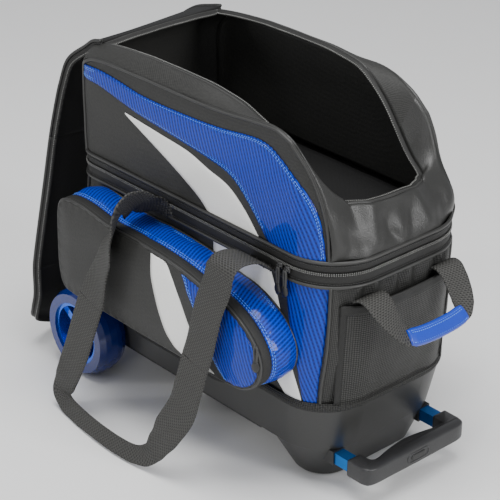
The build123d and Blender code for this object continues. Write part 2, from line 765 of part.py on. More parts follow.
save("handle_tubes", handle_tubes())
save("tube_wear_plugs", tube_wear_plugs())
save("grip_rear_shell", grip_rear_shell())
save("grip_front_shell", grip_front_shell())
save("grip_screws", grip_screws())
save("release_button", release_button())

save("axle", cyl_y(wheel_x, -axle_end, axle_end, wheel_r, axle_r))
save("axle_nuts", axle_nuts())
save("axle_spacers", axle_spacers())
for part, make in (("tyre", wheel_tyre), ("hub", wheel_hub), ("bearings", wheel_bearings),
                   ("cap", wheel_cap)):
    front = make()
    back = [mirrored(s) for s in front] if isinstance(front, list) else mirrored(front)
    save(f"wheel_{part}_front", front)
    save(f"wheel_{part}_back", back)
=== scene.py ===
import json
from math import cos, exp, hypot, pi, radians, sin, sqrt

import bmesh
import bpy
from mathutils import Matrix, Vector, noise


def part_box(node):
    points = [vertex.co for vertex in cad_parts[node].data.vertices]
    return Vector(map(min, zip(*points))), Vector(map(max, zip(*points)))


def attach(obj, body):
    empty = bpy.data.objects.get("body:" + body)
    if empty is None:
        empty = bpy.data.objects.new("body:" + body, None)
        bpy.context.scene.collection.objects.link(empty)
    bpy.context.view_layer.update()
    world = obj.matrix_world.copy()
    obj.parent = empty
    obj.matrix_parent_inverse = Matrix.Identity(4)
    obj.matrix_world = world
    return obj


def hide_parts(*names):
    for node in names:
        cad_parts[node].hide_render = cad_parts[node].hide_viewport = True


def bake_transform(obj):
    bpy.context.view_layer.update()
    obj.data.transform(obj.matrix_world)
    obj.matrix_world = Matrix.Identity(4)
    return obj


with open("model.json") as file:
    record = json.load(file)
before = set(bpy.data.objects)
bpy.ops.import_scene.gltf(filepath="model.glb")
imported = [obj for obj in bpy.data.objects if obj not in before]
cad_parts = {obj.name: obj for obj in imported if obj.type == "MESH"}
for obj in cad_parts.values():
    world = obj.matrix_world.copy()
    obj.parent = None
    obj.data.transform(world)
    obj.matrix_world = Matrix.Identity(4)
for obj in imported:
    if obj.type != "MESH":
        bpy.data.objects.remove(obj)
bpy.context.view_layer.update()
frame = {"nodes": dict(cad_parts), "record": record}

MM = 0.001
THREAD_W, THREAD_H = 0.42, 0.3      # half width and half height of a stitch
joints = {j["name"]: j for j in frame["record"]["behaviour"]["joints"]}


# ------------------------------------------------------------------ curves and meshes, in mm
def spline(points, count, closed=False):
    """Smooth line through the points, as evenly spaced samples."""
    p = [Vector(q) for q in points]
    n = len(p)
    spans = n if closed else n - 1
    dense = []
    for i in range(spans):
        a = p[(i - 1) % n] if closed or i else p[0] * 2 - p[1]
        b, c = p[i], p[(i + 1) % n]
        d = p[(i + 2) % n] if closed or i < spans - 1 else c * 2 - b
        t1 = max((b - a).length, 1e-6) ** 0.5
        t2 = max((c - b).length, 1e-6) ** 0.5
        t3 = max((d - c).length, 1e-6) ** 0.5
        m1 = ((b - a) / t1 - (c - a) / (t1 + t2) + (c - b) / t2) * t2
        m2 = ((c - b) / t2 - (d - b) / (t2 + t3) + (d - c) / t3) * t2
        for k in range(16):
            t = k / 16
            dense.append(b * (2 * t**3 - 3 * t**2 + 1) + m1 * (t**3 - 2 * t**2 + t)
                         + c * (3 * t**2 - 2 * t**3) + m2 * (t**3 - t**2))
    dense.append(p[0] if closed else p[-1])
    return even(dense, count, closed)


def even(dense, count, closed=False):
    """Resample a line evenly; a closed line repeats no point."""
    reach = distances(dense)
    out, j = [], 0
    for k in range(count):
        want = reach[-1] * k / (count if closed else count - 1)
        while j < len(dense) - 2 and reach[j + 1] < want:
            j += 1
        gap = reach[j + 1] - reach[j]
        out.append(dense[j].lerp(dense[j + 1], (want - reach[j]) / gap if gap > 1e-9 else 0))
    return out


def distances(points):
    """Distance of each point from the first, along the line."""
    reach = [0.0]
    for a, b in zip(points, points[1:]):
        reach.append(reach[-1] + (b - a).length)
    return reach


def line_length(points):
    """Length of a line through points."""
    return distances(points)[-1]


def through(points, steps):
    """Smooth line with the same number of steps in each span, keeping every point."""
    out = []
    for k in range(len(points) - 1):
        a, b = points[max(k - 1, 0)], points[k]
        c, d = points[k + 1], points[min(k + 2, len(points) - 1)]
        for f in range(steps):
            t = f / steps
            out.append(b + (c - a) * 0.5 * t + (a * 2 - b * 5 + c * 4 - d) * 0.5 * t**2
                       + (b * 3 - a - c * 3 + d) * 0.5 * t**3)
    out.append(points[-1] * 1)
    return out


def smooth(lo, hi, x):
    """0 at lo, 1 at hi, with a soft start and stop."""
    t = min(max((x - lo) / (hi - lo), 0), 1)
    return t * t * (3 - 2 * t)


def make(name, verts, faces, uvs=None, materials=(), picks=None, solid=False):
    """Mesh object from millimetres; uvs holds one pair per vertex, in mm along the cloth."""
    mesh = bpy.data.meshes.new(name)
    mesh.from_pydata([Vector(v) * MM for v in verts], [], faces)
    if solid:
        face_outward(mesh)
    if uvs:
        layer = mesh.uv_layers.new(name="cloth")
        for loop in mesh.loops:
            u = uvs[loop.vertex_index]
            layer.data[loop.index].uv = (u[0] * MM, u[1] * MM)
    mesh.polygons.foreach_set("use_smooth", [True] * len(mesh.polygons))
    for m in materials:
        mesh.materials.append(m)
    if picks:
        mesh.polygons.foreach_set("material_index", picks)
    mesh.update()
    obj = bpy.data.objects.new(name, mesh)
    bpy.context.scene.collection.objects.link(obj)
    return obj


def face_outward(mesh):
    """Turn every face of a closed form outward."""
    bm = bmesh.new()
    bm.from_mesh(mesh)
    bmesh.ops.recalc_face_normals(bm, faces=bm.faces)
    bm.to_mesh(mesh)
    bm.free()


def tube_faces(rows, around, first=True, last=True):
    """Faces of a tube of rings, with a cap on its first and last ring."""
    faces = [(i * around + k, i * around + (k + 1) % around, (i + 1) * around + (k + 1) % around,
              (i + 1) * around + k) for i in range(rows - 1) for k in range(around)]
    if first:
        faces.append(tuple(reversed(range(around))))
    if last:
        faces.append(tuple(range((rows - 1) * around, rows * around)))
    return faces


def grid(name, nu, nv, place, materials, closed=False, skip=None, uv=None, pick=None, thick=0.0, into=-1.0):
    """Surface from place(i, j) in mm; skip(i, j) leaves faces out; thick gives it a body."""
    verts = [place(i, j) for i in range(nu) for j in range(nv)]
    uvs = [uv(i, j) for i in range(nu) for j in range(nv)] if uv else None
    faces, picks = [], []
    for i in range(nu if closed else nu - 1):
        for j in range(nv - 1):
            if skip and skip(i, j):
                continue
            k = (i + 1) % nu
            faces.append((i * nv + j, k * nv + j, k * nv + j + 1, i * nv + j + 1))
            picks.append(pick(i, j) if pick else 0)
    obj = make(name, verts, faces, uvs, materials, picks=picks)
    if thick:
        thicken(obj, thick, into)
    return obj


def thicken(obj, thick, into=-1.0):
    """Give a surface a body; into is -1 for inward, 1 for outward and 0 for both ways."""
    m = obj.modifiers.new("cloth", "SOLIDIFY")
    m.thickness, m.offset, m.use_even_offset = thick * MM, into, False


def settle(obj):
    """Write the object's modifiers into its mesh."""
    deps = bpy.context.evaluated_depsgraph_get()
    done = bpy.data.meshes.new_from_object(obj.evaluated_get(deps))
    obj.modifiers.clear()
    obj.data = done
    return obj


def frames(path, up=None, closed=False):
    """Direction, side and outward vectors along a path."""
    out = []
    n = len(path)
    side = None
    for i, p in enumerate(path):
        a = path[(i - 1) % n] if closed or i else p
        b = path[(i + 1) % n] if closed or i < n - 1 else p
        d = (b - a).normalized()
        if up is not None:
            u = up[i] if isinstance(up, list) else Vector(up)
            s = u - d * u.dot(d)
            side = s.normalized() if s.length > 1e-6 else side
        elif side is None:
            s = Vector((0, 0, 1)) if abs(d.z) < 0.9 else Vector((1, 0, 0))
            side = (s - d * s.dot(d)).normalized()
        else:
            side = (side - d * side.dot(d)).normalized()
        out.append((d, side, d.cross(side)))
    return out


def sweep(name, path, section, materials, up=None, closed=False):
    """Carry a section, as (side, out) pairs in mm, along a path; open ends are capped."""
    n, m = len(path), len(section)
    verts = [p + s * a + o * b for p, (_, s, o) in zip(path, frames(path, up, closed)) for a, b in section]
    uvs = [(a, far) for far in distances(path) for a, _ in section]
    faces = tube_faces(n, m, not closed, not closed)
    if closed:
        end = (n - 1) * m
        faces += [(end + k, end + (k + 1) % m, (k + 1) % m, k) for k in range(m)]
    return make(name, verts, faces, uvs, materials, solid=True)


def ring_section(r, n=8):
    """Round section for a cord or welt."""
    return [(r * cos(2 * pi * k / n), r * sin(2 * pi * k / n)) for k in range(n)]


def join(name, objs):
    """One object from several, keeping their materials."""
    base = objs[0]
    with bpy.context.temp_override(active_object=base, selected_editable_objects=objs):
        bpy.ops.object.join()
    base.name = name
    base.data.name = name
    return base


def blocks(name, items, materials):
    """Many small bevelled bars in one mesh: (centre, direction, side, half sizes)."""
    verts, faces = [], []
    for c, d, s, (hl, hw, hh) in items:
        o = d.cross(s).normalized()
        n = len(verts)
        for l, k in ((-hl, 0.55), (-hl * 0.7, 1), (hl * 0.7, 1), (hl, 0.55)):
            for a, b in ((-hw, -hh), (hw, -hh), (hw, hh), (-hw, hh)):
                verts.append(c + d * l + s * a * k + o * b * k)
        for r in range(3):
            for q in range(4):
                a, b = n + r * 4 + q, n + r * 4 + (q + 1) % 4
                faces.append((a, b, b + 4, a + 4))
        faces += [(n + 3, n + 2, n + 1, n), (n + 12, n + 13, n + 14, n + 15)]
    return make(name, verts, faces, None, materials, solid=True)


def coil(name, path, up, pitch=2.6, width=2.6, height=1.0, closed=False):
    """Zip teeth: short bars across a path, up giving the outward side."""
    count = int(line_length(path) / pitch)
    pts = even(path + path[:1] if closed else path, count + 1)
    fr = frames(pts)
    items = []
    m = len(path)
    for i, p in enumerate(pts[:-1] if closed else pts):
        d = fr[i][0]
        u = up[min(int(i * m / len(pts)), m - 1)]
        items.append((p, d.cross(u).normalized(), d, (width / 2, pitch * 0.3, height)))
    return blocks(name, items, [teeth])


def stitches(name, path, normals, material, gap=4.2, length=1.35, lift=0.35):
    """Thread dashes along a path that lie on the cloth."""
    count = max(int(line_length(path) / gap), 2)
    items, m = [], len(path)
    pts = even(path, count)
    for i, (p, (d, _, _)) in enumerate(zip(pts, frames(pts))):
        u = normals[min(int(i * m / count), m - 1)]
        items.append((p + u * lift, d, d.cross(u).normalized(), (length, THREAD_W, THREAD_H)))
    return blocks(name, items, [material])


def mirror_y(obj):
    """Turn a piece of the front into its twin on the back."""
    obj.data.transform(Matrix.Scale(-1, 4, (0, 1, 0)))
    obj.data.flip_normals()
    return obj


# ------------------------------------------------------------------ finishes
def socket_group(name, inputs, outputs):
    """Shader group with named sockets, and its two end nodes."""
    group = bpy.data.node_groups.new(name, "ShaderNodeTree")
    for label, kind, value in inputs:
        sock = group.interface.new_socket(name=label, in_out="INPUT", socket_type=kind)
        if value is not None:
            sock.default_value = value
    for label, kind in outputs:
        group.interface.new_socket(name=label, in_out="OUTPUT", socket_type=kind)
    tree = group.nodes
    return group, tree.new("NodeGroupInput"), tree.new("NodeGroupOutput")


class Wire:
    """Short way to add and join shader nodes."""

    def __init__(self, tree):
        self.tree = tree

    def node(self, kind, inputs=None, **settings):
        n = self.tree.nodes.new("ShaderNode" + kind)
        for k, v in settings.items():
            setattr(n, k, v)
        for k, v in (inputs or {}).items():
            if isinstance(v, bpy.types.NodeSocket):
                self.tree.links.new(v, n.inputs[k])
            else:
                n.inputs[k].default_value = v
        return n

    def math(self, op, a, b=0.0, c=0.0):
        n = self.node("Math", {0: a, 1: b, 2: c}, operation=op)
        return n.outputs[0]

    def mix(self, factor, a, b):
        n = self.node("Mix", {0: factor, 6: a, 7: b}, data_type="RGBA")
        return n.outputs[2]

    def span(self, value, lo, hi, to_lo=0.0, to_hi=1.0):
        n = self.node("MapRange", {"Value": value, "From Min": lo, "From Max": hi,
                                   "To Min": to_lo, "To Max": to_hi})
        return n.outputs[0]


def weave_group():
    """Crossed threads: height, and a light-to-dark mask, from a position in metres."""
    group, gin, gout = socket_group("crossed_threads", [
        ("Position", "NodeSocketVector", None), ("Threads per metre", "NodeSocketFloat", 900.0),
        ("Slant", "NodeSocketFloat", 0.0), ("Unevenness", "NodeSocketFloat", 0.5)],
        [("Height", "NodeSocketFloat"), ("Mask", "NodeSocketFloat")])
    w = Wire(group)
    turned = w.node("VectorRotate", {"Vector": gin.outputs["Position"], "Angle": gin.outputs["Slant"]},
                    rotation_type="Z_AXIS")
    split = w.node("SeparateXYZ", {0: turned.outputs[0]})
    rate = w.math("MULTIPLY", gin.outputs["Threads per metre"], 2 * pi)
    a = w.math("SINE", w.math("MULTIPLY", split.outputs[0], rate))
    b = w.math("SINE", w.math("MULTIPLY", split.outputs[1], rate))
    both = w.math("MULTIPLY_ADD", w.math("MULTIPLY", a, b), 0.5, 0.5)
    grain = w.node("TexNoise", {"Vector": gin.outputs["Position"], "Scale": 320.0, "Detail": 3.0})
    rough = w.math("MULTIPLY", w.math("SUBTRACT", grain.outputs["Fac"], 0.5), gin.outputs["Unevenness"])
    total = w.math("ADD", both, rough)
    group.links.new(total, gout.inputs["Height"])
    group.links.new(w.span(total, 0.2, 0.9), gout.inputs["Mask"])
    return group


def ribs_group():
    """Parallel ribs with a gentle waver: height and mask."""
    group, gin, gout = socket_group("parallel_ribs", [
        ("Position", "NodeSocketVector", None), ("Ribs per metre", "NodeSocketFloat", 220.0),
        ("Slant", "NodeSocketFloat", 0.0), ("Waver", "NodeSocketFloat", 0.0)],
        [("Height", "NodeSocketFloat"), ("Mask", "NodeSocketFloat")])
    w = Wire(group)
    turned = w.node("VectorRotate", {"Vector": gin.outputs["Position"], "Angle": gin.outputs["Slant"]},
                    rotation_type="Z_AXIS")
    split = w.node("SeparateXYZ", {0: turned.outputs[0]})
    drift = w.node("TexNoise", {"Vector": gin.outputs["Position"], "Scale": 9.0, "Detail": 1.0})
    moved = w.math("MULTIPLY_ADD", w.math("SUBTRACT", drift.outputs["Fac"], 0.5), gin.outputs["Waver"],
                   split.outputs[0])
    rate = w.math("MULTIPLY", gin.outputs["Ribs per metre"], 2 * pi)
    wave = w.math("MULTIPLY_ADD", w.math("SINE", w.math("MULTIPLY", moved, rate)), 0.5, 0.5)
    group.links.new(wave, gout.inputs["Height"])
    group.links.new(w.span(wave, 0.15, 0.85), gout.inputs["Mask"])
    return group


def wear_group():
    """Soft dust and rubbed patches, as a mask."""
    group, gin, gout = socket_group("rubbed_patches", [
        ("Position", "NodeSocketVector", None), ("Scale", "NodeSocketFloat", 18.0),
        ("Amount", "NodeSocketFloat", 0.3)], [("Mask", "NodeSocketFloat"), ("Grain", "NodeSocketFloat")])
    w = Wire(group)
    big = w.node("TexNoise", {"Vector": gin.outputs["Position"], "Scale": gin.outputs["Scale"],
                              "Detail": 5.0})
    fine = w.node("TexNoise", {"Vector": gin.outputs["Position"], "Scale": 700.0, "Detail": 2.0})
    mask = w.math("MULTIPLY", w.span(big.outputs["Fac"], 0.35, 0.85), gin.outputs["Amount"])
    group.links.new(mask, gout.inputs["Mask"])
    group.links.new(fine.outputs["Fac"], gout.inputs["Grain"])
    return group


WEAVE, RIBS, WEAR = weave_group(), ribs_group(), wear_group()


def start_finish(name):
    """Material with only its shader and output, and the means to wire it."""
    m = bpy.data.materials.new(name)
    m.use_nodes = True
    m.node_tree.nodes.clear()
    w = Wire(m.node_tree)
    out = w.node("OutputMaterial")
    shader = w.node("BsdfPrincipled")
    m.node_tree.links.new(shader.outputs[0], out.inputs[0])
    return m, w, shader


def placed(w, group, values):
    """Outputs of a shader group placed in a material with its own values."""
    return w.node("Group", values, node_tree=group).outputs


def rgb(r, g, b):
    """Opaque colour."""
    return (r, g, b, 1.0)


def finish(name, dark, light, rough=0.7, rough_spread=0.15, pattern=None, pattern_values=None, uv=False,
           relief=0.0003, relief_strength=0.5, wear=0.3, wear_scale=18.0, wear_colour=None, coat=0.0,
           coat_rough=0.1, metallic=0.0, specular=0.5, fleck=None):
    """One finish: two tones over a pattern, worn patches, roughness and relief."""
    m, w, shader = start_finish(name)
    coords = w.node("TexCoord")
    pos = coords.outputs["UV"] if uv else coords.outputs["Object"]
    worn = placed(w, WEAR, {"Position": coords.outputs["Object"], "Scale": wear_scale, "Amount": wear})
    height = worn["Grain"]
    colour = w.mix(worn["Grain"], dark, light)
    if pattern:
        lines = placed(w, pattern, {"Position": pos, **(pattern_values or {})})
        colour = w.mix(lines["Mask"], dark, light)
        height = w.math("MULTIPLY_ADD", worn["Grain"], 0.3, lines["Height"])
    if fleck:
        spots = placed(w, RIBS, {"Position": pos, "Ribs per metre": fleck[0], "Slant": fleck[1]})
        colour = w.mix(w.math("MULTIPLY", spots["Mask"], fleck[2]), colour, fleck[3])
    paler = rgb(*(min(1, c * 1.9 + 0.01) for c in light[:3]))
    colour = w.mix(worn["Mask"], colour, wear_colour or paler)
    roughness = w.span(worn["Mask"], 0, 1, rough, min(1, rough + rough_spread))
    w.tree.links.new(colour, shader.inputs["Base Color"])
    w.tree.links.new(roughness, shader.inputs["Roughness"])
    bump = w.node("Bump", {"Strength": relief_strength, "Distance": relief, "Height": height})
    w.tree.links.new(bump.outputs[0], shader.inputs["Normal"])
    shader.inputs["Metallic"].default_value = metallic
    shader.inputs["Coat Weight"].default_value = coat
    shader.inputs["Coat Roughness"].default_value = coat_rough
    shader.inputs["Specular IOR Level"].default_value = specular
    return m


charcoal = finish("charcoal_weave", rgb(.007, .007, .0065), rgb(.034, .034, .031), .55, .15, WEAVE,
                  {"Threads per metre": 430, "Slant": .4, "Unevenness": .9}, uv=True, relief=.0005,
                  relief_strength=.5, wear=.06, specular=.4)
gathered = finish("gathered_weave", rgb(.005, .005, .005), rgb(.036, .036, .033), .55, .15, WEAVE,
                  {"Threads per metre": 260, "Slant": .6, "Unevenness": .7}, uv=True, relief=.0007,
                  relief_strength=.6, wear=.05, specular=.4)
lining = finish("lining", rgb(.003, .003, .003), rgb(.012, .012, .012), .75, .1, WEAVE,
                {"Threads per metre": 420, "Unevenness": .6}, uv=True, wear=.05, specular=.3)
leather = finish("gusset_leather", rgb(.009, .009, .0085), rgb(.024, .024, .022), .36, .2, relief=.0009,
                 relief_strength=.4, wear=.1, wear_scale=9)
welt = finish("welt_cover", rgb(.007, .007, .0065), rgb(.03, .03, .028), .45, .15, RIBS,
              {"Ribs per metre": 600}, uv=True, wear=.08)
tape = finish("zip_tape", rgb(.005, .005, .005), rgb(.026, .026, .024), .6, .15, WEAVE,
              {"Threads per metre": 420, "Unevenness": .7}, uv=True, wear=.06, specular=.35)
teeth = finish("zip_teeth", rgb(.03, .03, .03), rgb(.16, .16, .15), .25, .2, relief_strength=.1, wear=.3)
binding = finish("ribbed_binding", rgb(.004, .004, .004), rgb(.035, .035, .032), .65, .15, WEAVE,
                 {"Threads per metre": 230, "Slant": .785, "Unevenness": 1.2}, uv=True, relief=.0012,
                 relief_strength=.9, wear=.06, specular=.35)
white_vinyl = finish("white_vinyl", rgb(.78, .78, .75), rgb(.90, .90, .87), .35, .15, relief=.0002,
                     relief_strength=.1, wear=.12, wear_colour=rgb(.70, .70, .67), coat=.25, coat_rough=.2)
blue_vinyl = finish("blue_vinyl", rgb(.0, .006, .12), rgb(.0, .045, .50), .36, .08, RIBS,
                    {"Ribs per metre": 185, "Slant": -.38, "Waver": .012}, uv=True, relief=.0012,
                    relief_strength=.45, wear=.05, wear_scale=4, wear_colour=rgb(.0, .06, .6), coat=.3,
                    coat_rough=.06, specular=.15, fleck=(185, 1.15, .4, rgb(.0, .03, .4)))
plain_blue = finish("grip_vinyl", rgb(.0, .02, .30), rgb(.0, .04, .45), .35, .1, relief=.0003,
                    relief_strength=.2, wear=.1, coat=.3, coat_rough=.15)
thread = finish("pale_thread", rgb(.03, .16, .7), rgb(.14, .34, .95), .5, .1, wear=.1)
dark_thread = finish("dark_thread", rgb(.01, .01, .01), rgb(.04, .04, .038), .5, .1, wear=.2)
webbing = finish("webbing", rgb(.002, .002, .002), rgb(.04, .04, .037), .55, .15, WEAVE,
                 {"Threads per metre": 190, "Slant": 0.0, "Unevenness": .3}, uv=True, relief=.0011,
                 relief_strength=1.0, wear=.04, specular=.35, fleck=(380, 1.5708, .5, rgb(.085, .083, .076)))
net = finish("net", rgb(.001, .001, .001), rgb(.05, .05, .046), .5, .15, WEAVE,
             {"Threads per metre": 250, "Slant": .785, "Unevenness": .25}, uv=True, relief=.0009,
             relief_strength=.9, wear=.04, specular=.35)
tub_plastic = finish("tub_plastic", rgb(.012, .012, .0115), rgb(.024, .024, .0225), .38, .15, relief=.0003,
                     relief_strength=.25, wear=.12, wear_scale=7)
black_plastic = finish("black_plastic", rgb(.005, .005, .005), rgb(.014, .014, .014), .38, .2, wear=.15)
grip_plastic = finish("grip_plastic", rgb(.010, .010, .011), rgb(.026, .026, .027), .38, .15, relief=.0003,
                      relief_strength=.4, wear=.15, wear_scale=30)
rubber = finish("foot_rubber", rgb(.01, .01, .01), rgb(.02, .02, .02), .85, .1, wear=.5,
                wear_colour=rgb(.12, .11, .1))
tyre_blue = finish("tyre_urethane", rgb(.0, .006, .07), rgb(.0, .02, .22), .18, .2, relief=.0002,
                   relief_strength=.2, wear=.2, wear_scale=14, wear_colour=rgb(.0, .03, .2), coat=.3,
                   coat_rough=.08)
hub_blue = finish("hub_metallic", rgb(.0, .05, .5), rgb(.0, .16, .9), .22, .15, relief_strength=.1,
                  wear=.15, metallic=.85, coat=.6)
tube_blue = finish("tube_anodised", rgb(.006, .09, .34), rgb(.015, .19, .58), .28, .15, RIBS,
                   {"Ribs per metre": 900, "Slant": 1.5708}, relief=.00008, relief_strength=.2, wear=.15,
                   metallic=.8)
steel = finish("axle_steel", rgb(.3, .3, .3), rgb(.55, .55, .55), .3, .2, metallic=1, wear=.3)
slider_black = finish("slider_enamel", rgb(.012, .012, .012), rgb(.04, .04, .04), .22, .15, wear=.3,
                      wear_scale=60, wear_colour=rgb(.2, .2, .2), metallic=.5)
chrome = finish("screw_chrome", rgb(.6, .6, .6), rgb(.85, .85, .85), .1, .1, metallic=1, wear=.15)
foam = finish("cup_foam", rgb(.016, .016, .017), rgb(.04, .04, .042), .85, .1, relief=.0008, wear=.2)
clear_plastic = finish("clear_guard", rgb(.75, .78, .82), rgb(.9, .92, .95), .15, .1, wear=.2)
clear_shader = next(n for n in clear_plastic.node_tree.nodes if n.type == "BSDF_PRINCIPLED")
clear_shader.inputs["Transmission Weight"].default_value = .9
clear_shader.inputs["IOR"].default_value = 1.45

# ------------------------------------------------------------------ the sewn body, in mm
BODY_X0, BODY_X1, HALF_W, R_LEFT, R_RIGHT = -225.0, 265.0, 122.0, 36.0, 70.0
FLAT_X0, FLAT_X1 = BODY_X0 + R_LEFT, BODY_X1 - R_RIGHT
LEGS = [FLAT_X1 - FLAT_X0, R_RIGHT * pi / 2, 2 * (HALF_W - R_RIGHT), R_RIGHT * pi / 2, FLAT_X1 - FLAT_X0,
        R_LEFT * pi / 2, 2 * (HALF_W - R_LEFT), R_LEFT * pi / 2]
AROUND = sum(LEGS)
SEAM_RIGHT, SEAM_LEFT = 249.0, -209.0
BAND_LOW, BAND_SPLIT, BAND_TOP = 296.0, 313.4, 328.0


def ring(s, z, grow=0.0):
    """Point and outward normal at distance s round the body; s = x on the front."""
    d = (s - FLAT_X0) % AROUND
    corners = {1: (FLAT_X1, -HALF_W + R_RIGHT, R_RIGHT, -90), 3: (FLAT_X1, HALF_W - R_RIGHT, R_RIGHT, 0),
               5: (FLAT_X0, HALF_W - R_LEFT, R_LEFT, 90), 7: (FLAT_X0, -HALF_W + R_LEFT, R_LEFT, 180)}
    flats = {0: ((FLAT_X0, -HALF_W), (1, 0), (0, -1)), 2: ((BODY_X1, -HALF_W + R_RIGHT), (0, 1), (1, 0)),
             4: ((FLAT_X1, HALF_W), (-1, 0), (0, 1)), 6: ((BODY_X0, HALF_W - R_LEFT), (0, -1), (-1, 0))}
    for k, leg in enumerate(LEGS):
        if d <= leg or k == 7:
            break
        d -= leg
    if k in corners:
        cx, cy, r, a0 = corners[k]
        a = radians(a0) + d / r
        n = Vector((cos(a), sin(a), 0))
        return Vector((cx, cy, z)) + n * (r + grow), n
    (x, y), (ux, uy), (nx, ny) = flats[k]
    n = Vector((nx, ny, 0))
    return Vector((x + ux * d, y + uy * d, z)) + n * grow, n


def taper(p, z):
    """The handle end leans in above and below the band."""
    lean = 8 * smooth(303, 125, z) + 6 * smooth(330, 480, z)
    return Vector((p.x - lean * smooth(150, 262, p.x), p.y, p.z))


def hem(x):
    """Height of the cloth's lower edge, which steps up over the wheels."""
    if x < -116:
        return 142 - 42 * smooth(-128, -104, x)
    return 100 + 28 * smooth(45, 150, x)


def wall_point(s, z, lift=0.0):
    """Ball compartment's cloth: slightly full, gathered under the band at the handle end."""
    p, n = ring(s, z)
    low = hem(p.x)
    v = (z - low) / (BAND_LOW - low)
    full = 3.5 * sin(pi * min(max(v, 0), 1)) - 1.0
    at_end = smooth(205, 262, p.x)
    gather = exp(-((BAND_LOW - z) / (22 + 12 * at_end)) ** 2) * (0.2 + 0.8 * at_end)
    pleat = sin(s / 4.4 + 3.0 * noise.noise(Vector((s / 30, z / 45, 3)))) * (1.4 + 2.6 * at_end) * gather
    sag = 2.0 * noise.noise(Vector((s / 60, z / 45, 1.7))) * (0.4 + at_end)
    back = 1.2 * noise.noise(Vector((s / 90, z / 60, 5)))
    return taper(p, z) + n * (full + pleat + sag + back + lift)


def shoe_point(s, z, lift=0.0):
    """Shoe compartment's front cloth, slightly full."""
    p, n = ring(s, z)
    full = 3.0 * sin(pi * smooth(324, 480, z)) * smooth(252, 150, abs(s - 20) - 20)
    ripple = 1.0 * noise.noise(Vector((s / 80, z / 50, 9)))
    return taper(p, z) + n * (full + ripple + lift)


def coons(bottom, top, left, right, u, v):
    """Point of a four-sided panel from its edge lines, each a list of 2D samples."""
    def at(line, t):
        k = min(int(t * (len(line) - 1)), len(line) - 2)
        return line[k].lerp(line[k + 1], t * (len(line) - 1) - k)
    b, t, l, r = at(bottom, u), at(top, u), at(left, v), at(right, v)
    c00, c10, c01, c11 = bottom[0], bottom[-1], top[0], top[-1]
    flat = c00 * (1 - u) * (1 - v) + c10 * u * (1 - v) + c01 * (1 - u) * v + c11 * u * v
    return b * (1 - v) + t * v + l * (1 - u) + r * u - flat


def flat_line(points, count=60):
    """Smooth line through points of a panel, as along and up."""
    return spline([(a, b, 0) for a, b in points], count)


def back_copy(obj, name):
    """Copy of a piece, mirrored to the back of the bag."""
    twin = obj.copy()
    twin.name, twin.data = name, obj.data.copy()
    bpy.context.scene.collection.objects.link(twin)
    return mirror_y(twin)


def panel(name, edge_a, edge_b, surface, material, lift=0.9, rows=14, count=90):
    """Applied patch between two edge lines of the same direction, laid on a surface."""
    a, b = flat_line(edge_a, count), flat_line(edge_b, count)

    def spot(i, j):
        t = j / (rows - 1)
        q = a[i].lerp(b[i], t)
        rim = min(1, 6 * min(t, 1 - t) + 0.15, 8 * min(i, count - 1 - i) / count + 0.3)
        return surface(q.x, q.y, lift * rim)

    def cloth(i, j):
        q = a[i].lerp(b[i], j / (rows - 1))
        return (q.x, q.y)
    return grid(name, count, rows, spot, [material], uv=cloth)


def inset(line, other, depth):
    """Line moved towards other by depth."""
    out = []
    for p, q in zip(line, other):
        gap = (q - p).length
        out.append(p.lerp(q, min(depth / gap, 0.45)) if gap > 1e-6 else p.copy())
    return out


def seam_stitches(name, edge_a, edge_b, surface, depths=(3.0, 5.6), count=160):
    """Rows of stitching that follow edge_a inside a patch."""
    a, b = flat_line(edge_a, count), flat_line(edge_b, count)
    rows = []
    for k, depth in enumerate(depths):
        line = inset(a, b, depth)[:count - 3]
        pts = [surface(q.x, q.y, 1.0) for q in line]
        out = [(surface(q.x, q.y, 3.0) - p).normalized() for p, q in zip(pts, line)]
        rows.append(stitches(f"{name}_{k}", pts, out, thread))
    return join(name, rows)


def belongs(obj, body, slot, *nodes):
    """The piece rides on a body and stands for the nodes; slot is not used."""
    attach(obj, body)
    if nodes:
        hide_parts(*nodes)
    return obj


# ------------------------------------------------------------------ ball compartment
WALL_N, WALL_ROWS = 360, 30
GATHERED_FROM = 236                 # the cloth past here, at the handle end, is gathered
PATCH = 0.8                         # thickness of an applied patch


def wall_spot(i, j):
    """Point of the wall at step i round the body, row j from the hem to the band."""
    s = FLAT_X0 + AROUND * i / WALL_N
    x = ring(s, 0)[0].x
    low = hem(x) - 3
    return wall_point(s, low + (BAND_LOW + 1 - low) * j / (WALL_ROWS - 1))


def wall_cloth(i, j):
    """The same step and row as a place on the cloth."""
    s = AROUND * i / WALL_N
    low = hem(ring(FLAT_X0 + s, 0)[0].x) - 3
    return (s, low + (BAND_LOW - low) * j / (WALL_ROWS - 1))


def wall_pick(i, j):
    """Gathered cloth at the handle end, plain charcoal elsewhere."""
    x = ring(FLAT_X0 + AROUND * i / WALL_N, 0)[0].x
    return 1 if x > GATHERED_FROM else 0


walls = grid("ball_compartment_walls", WALL_N, WALL_ROWS, wall_spot, [charcoal, gathered], closed=True,
             uv=wall_cloth, pick=wall_pick, thick=3.5)
belongs(walls, "bag", "charcoal_fabric", "front_wall", "back_wall", "wheel_end_wall", "handle_end_wall")

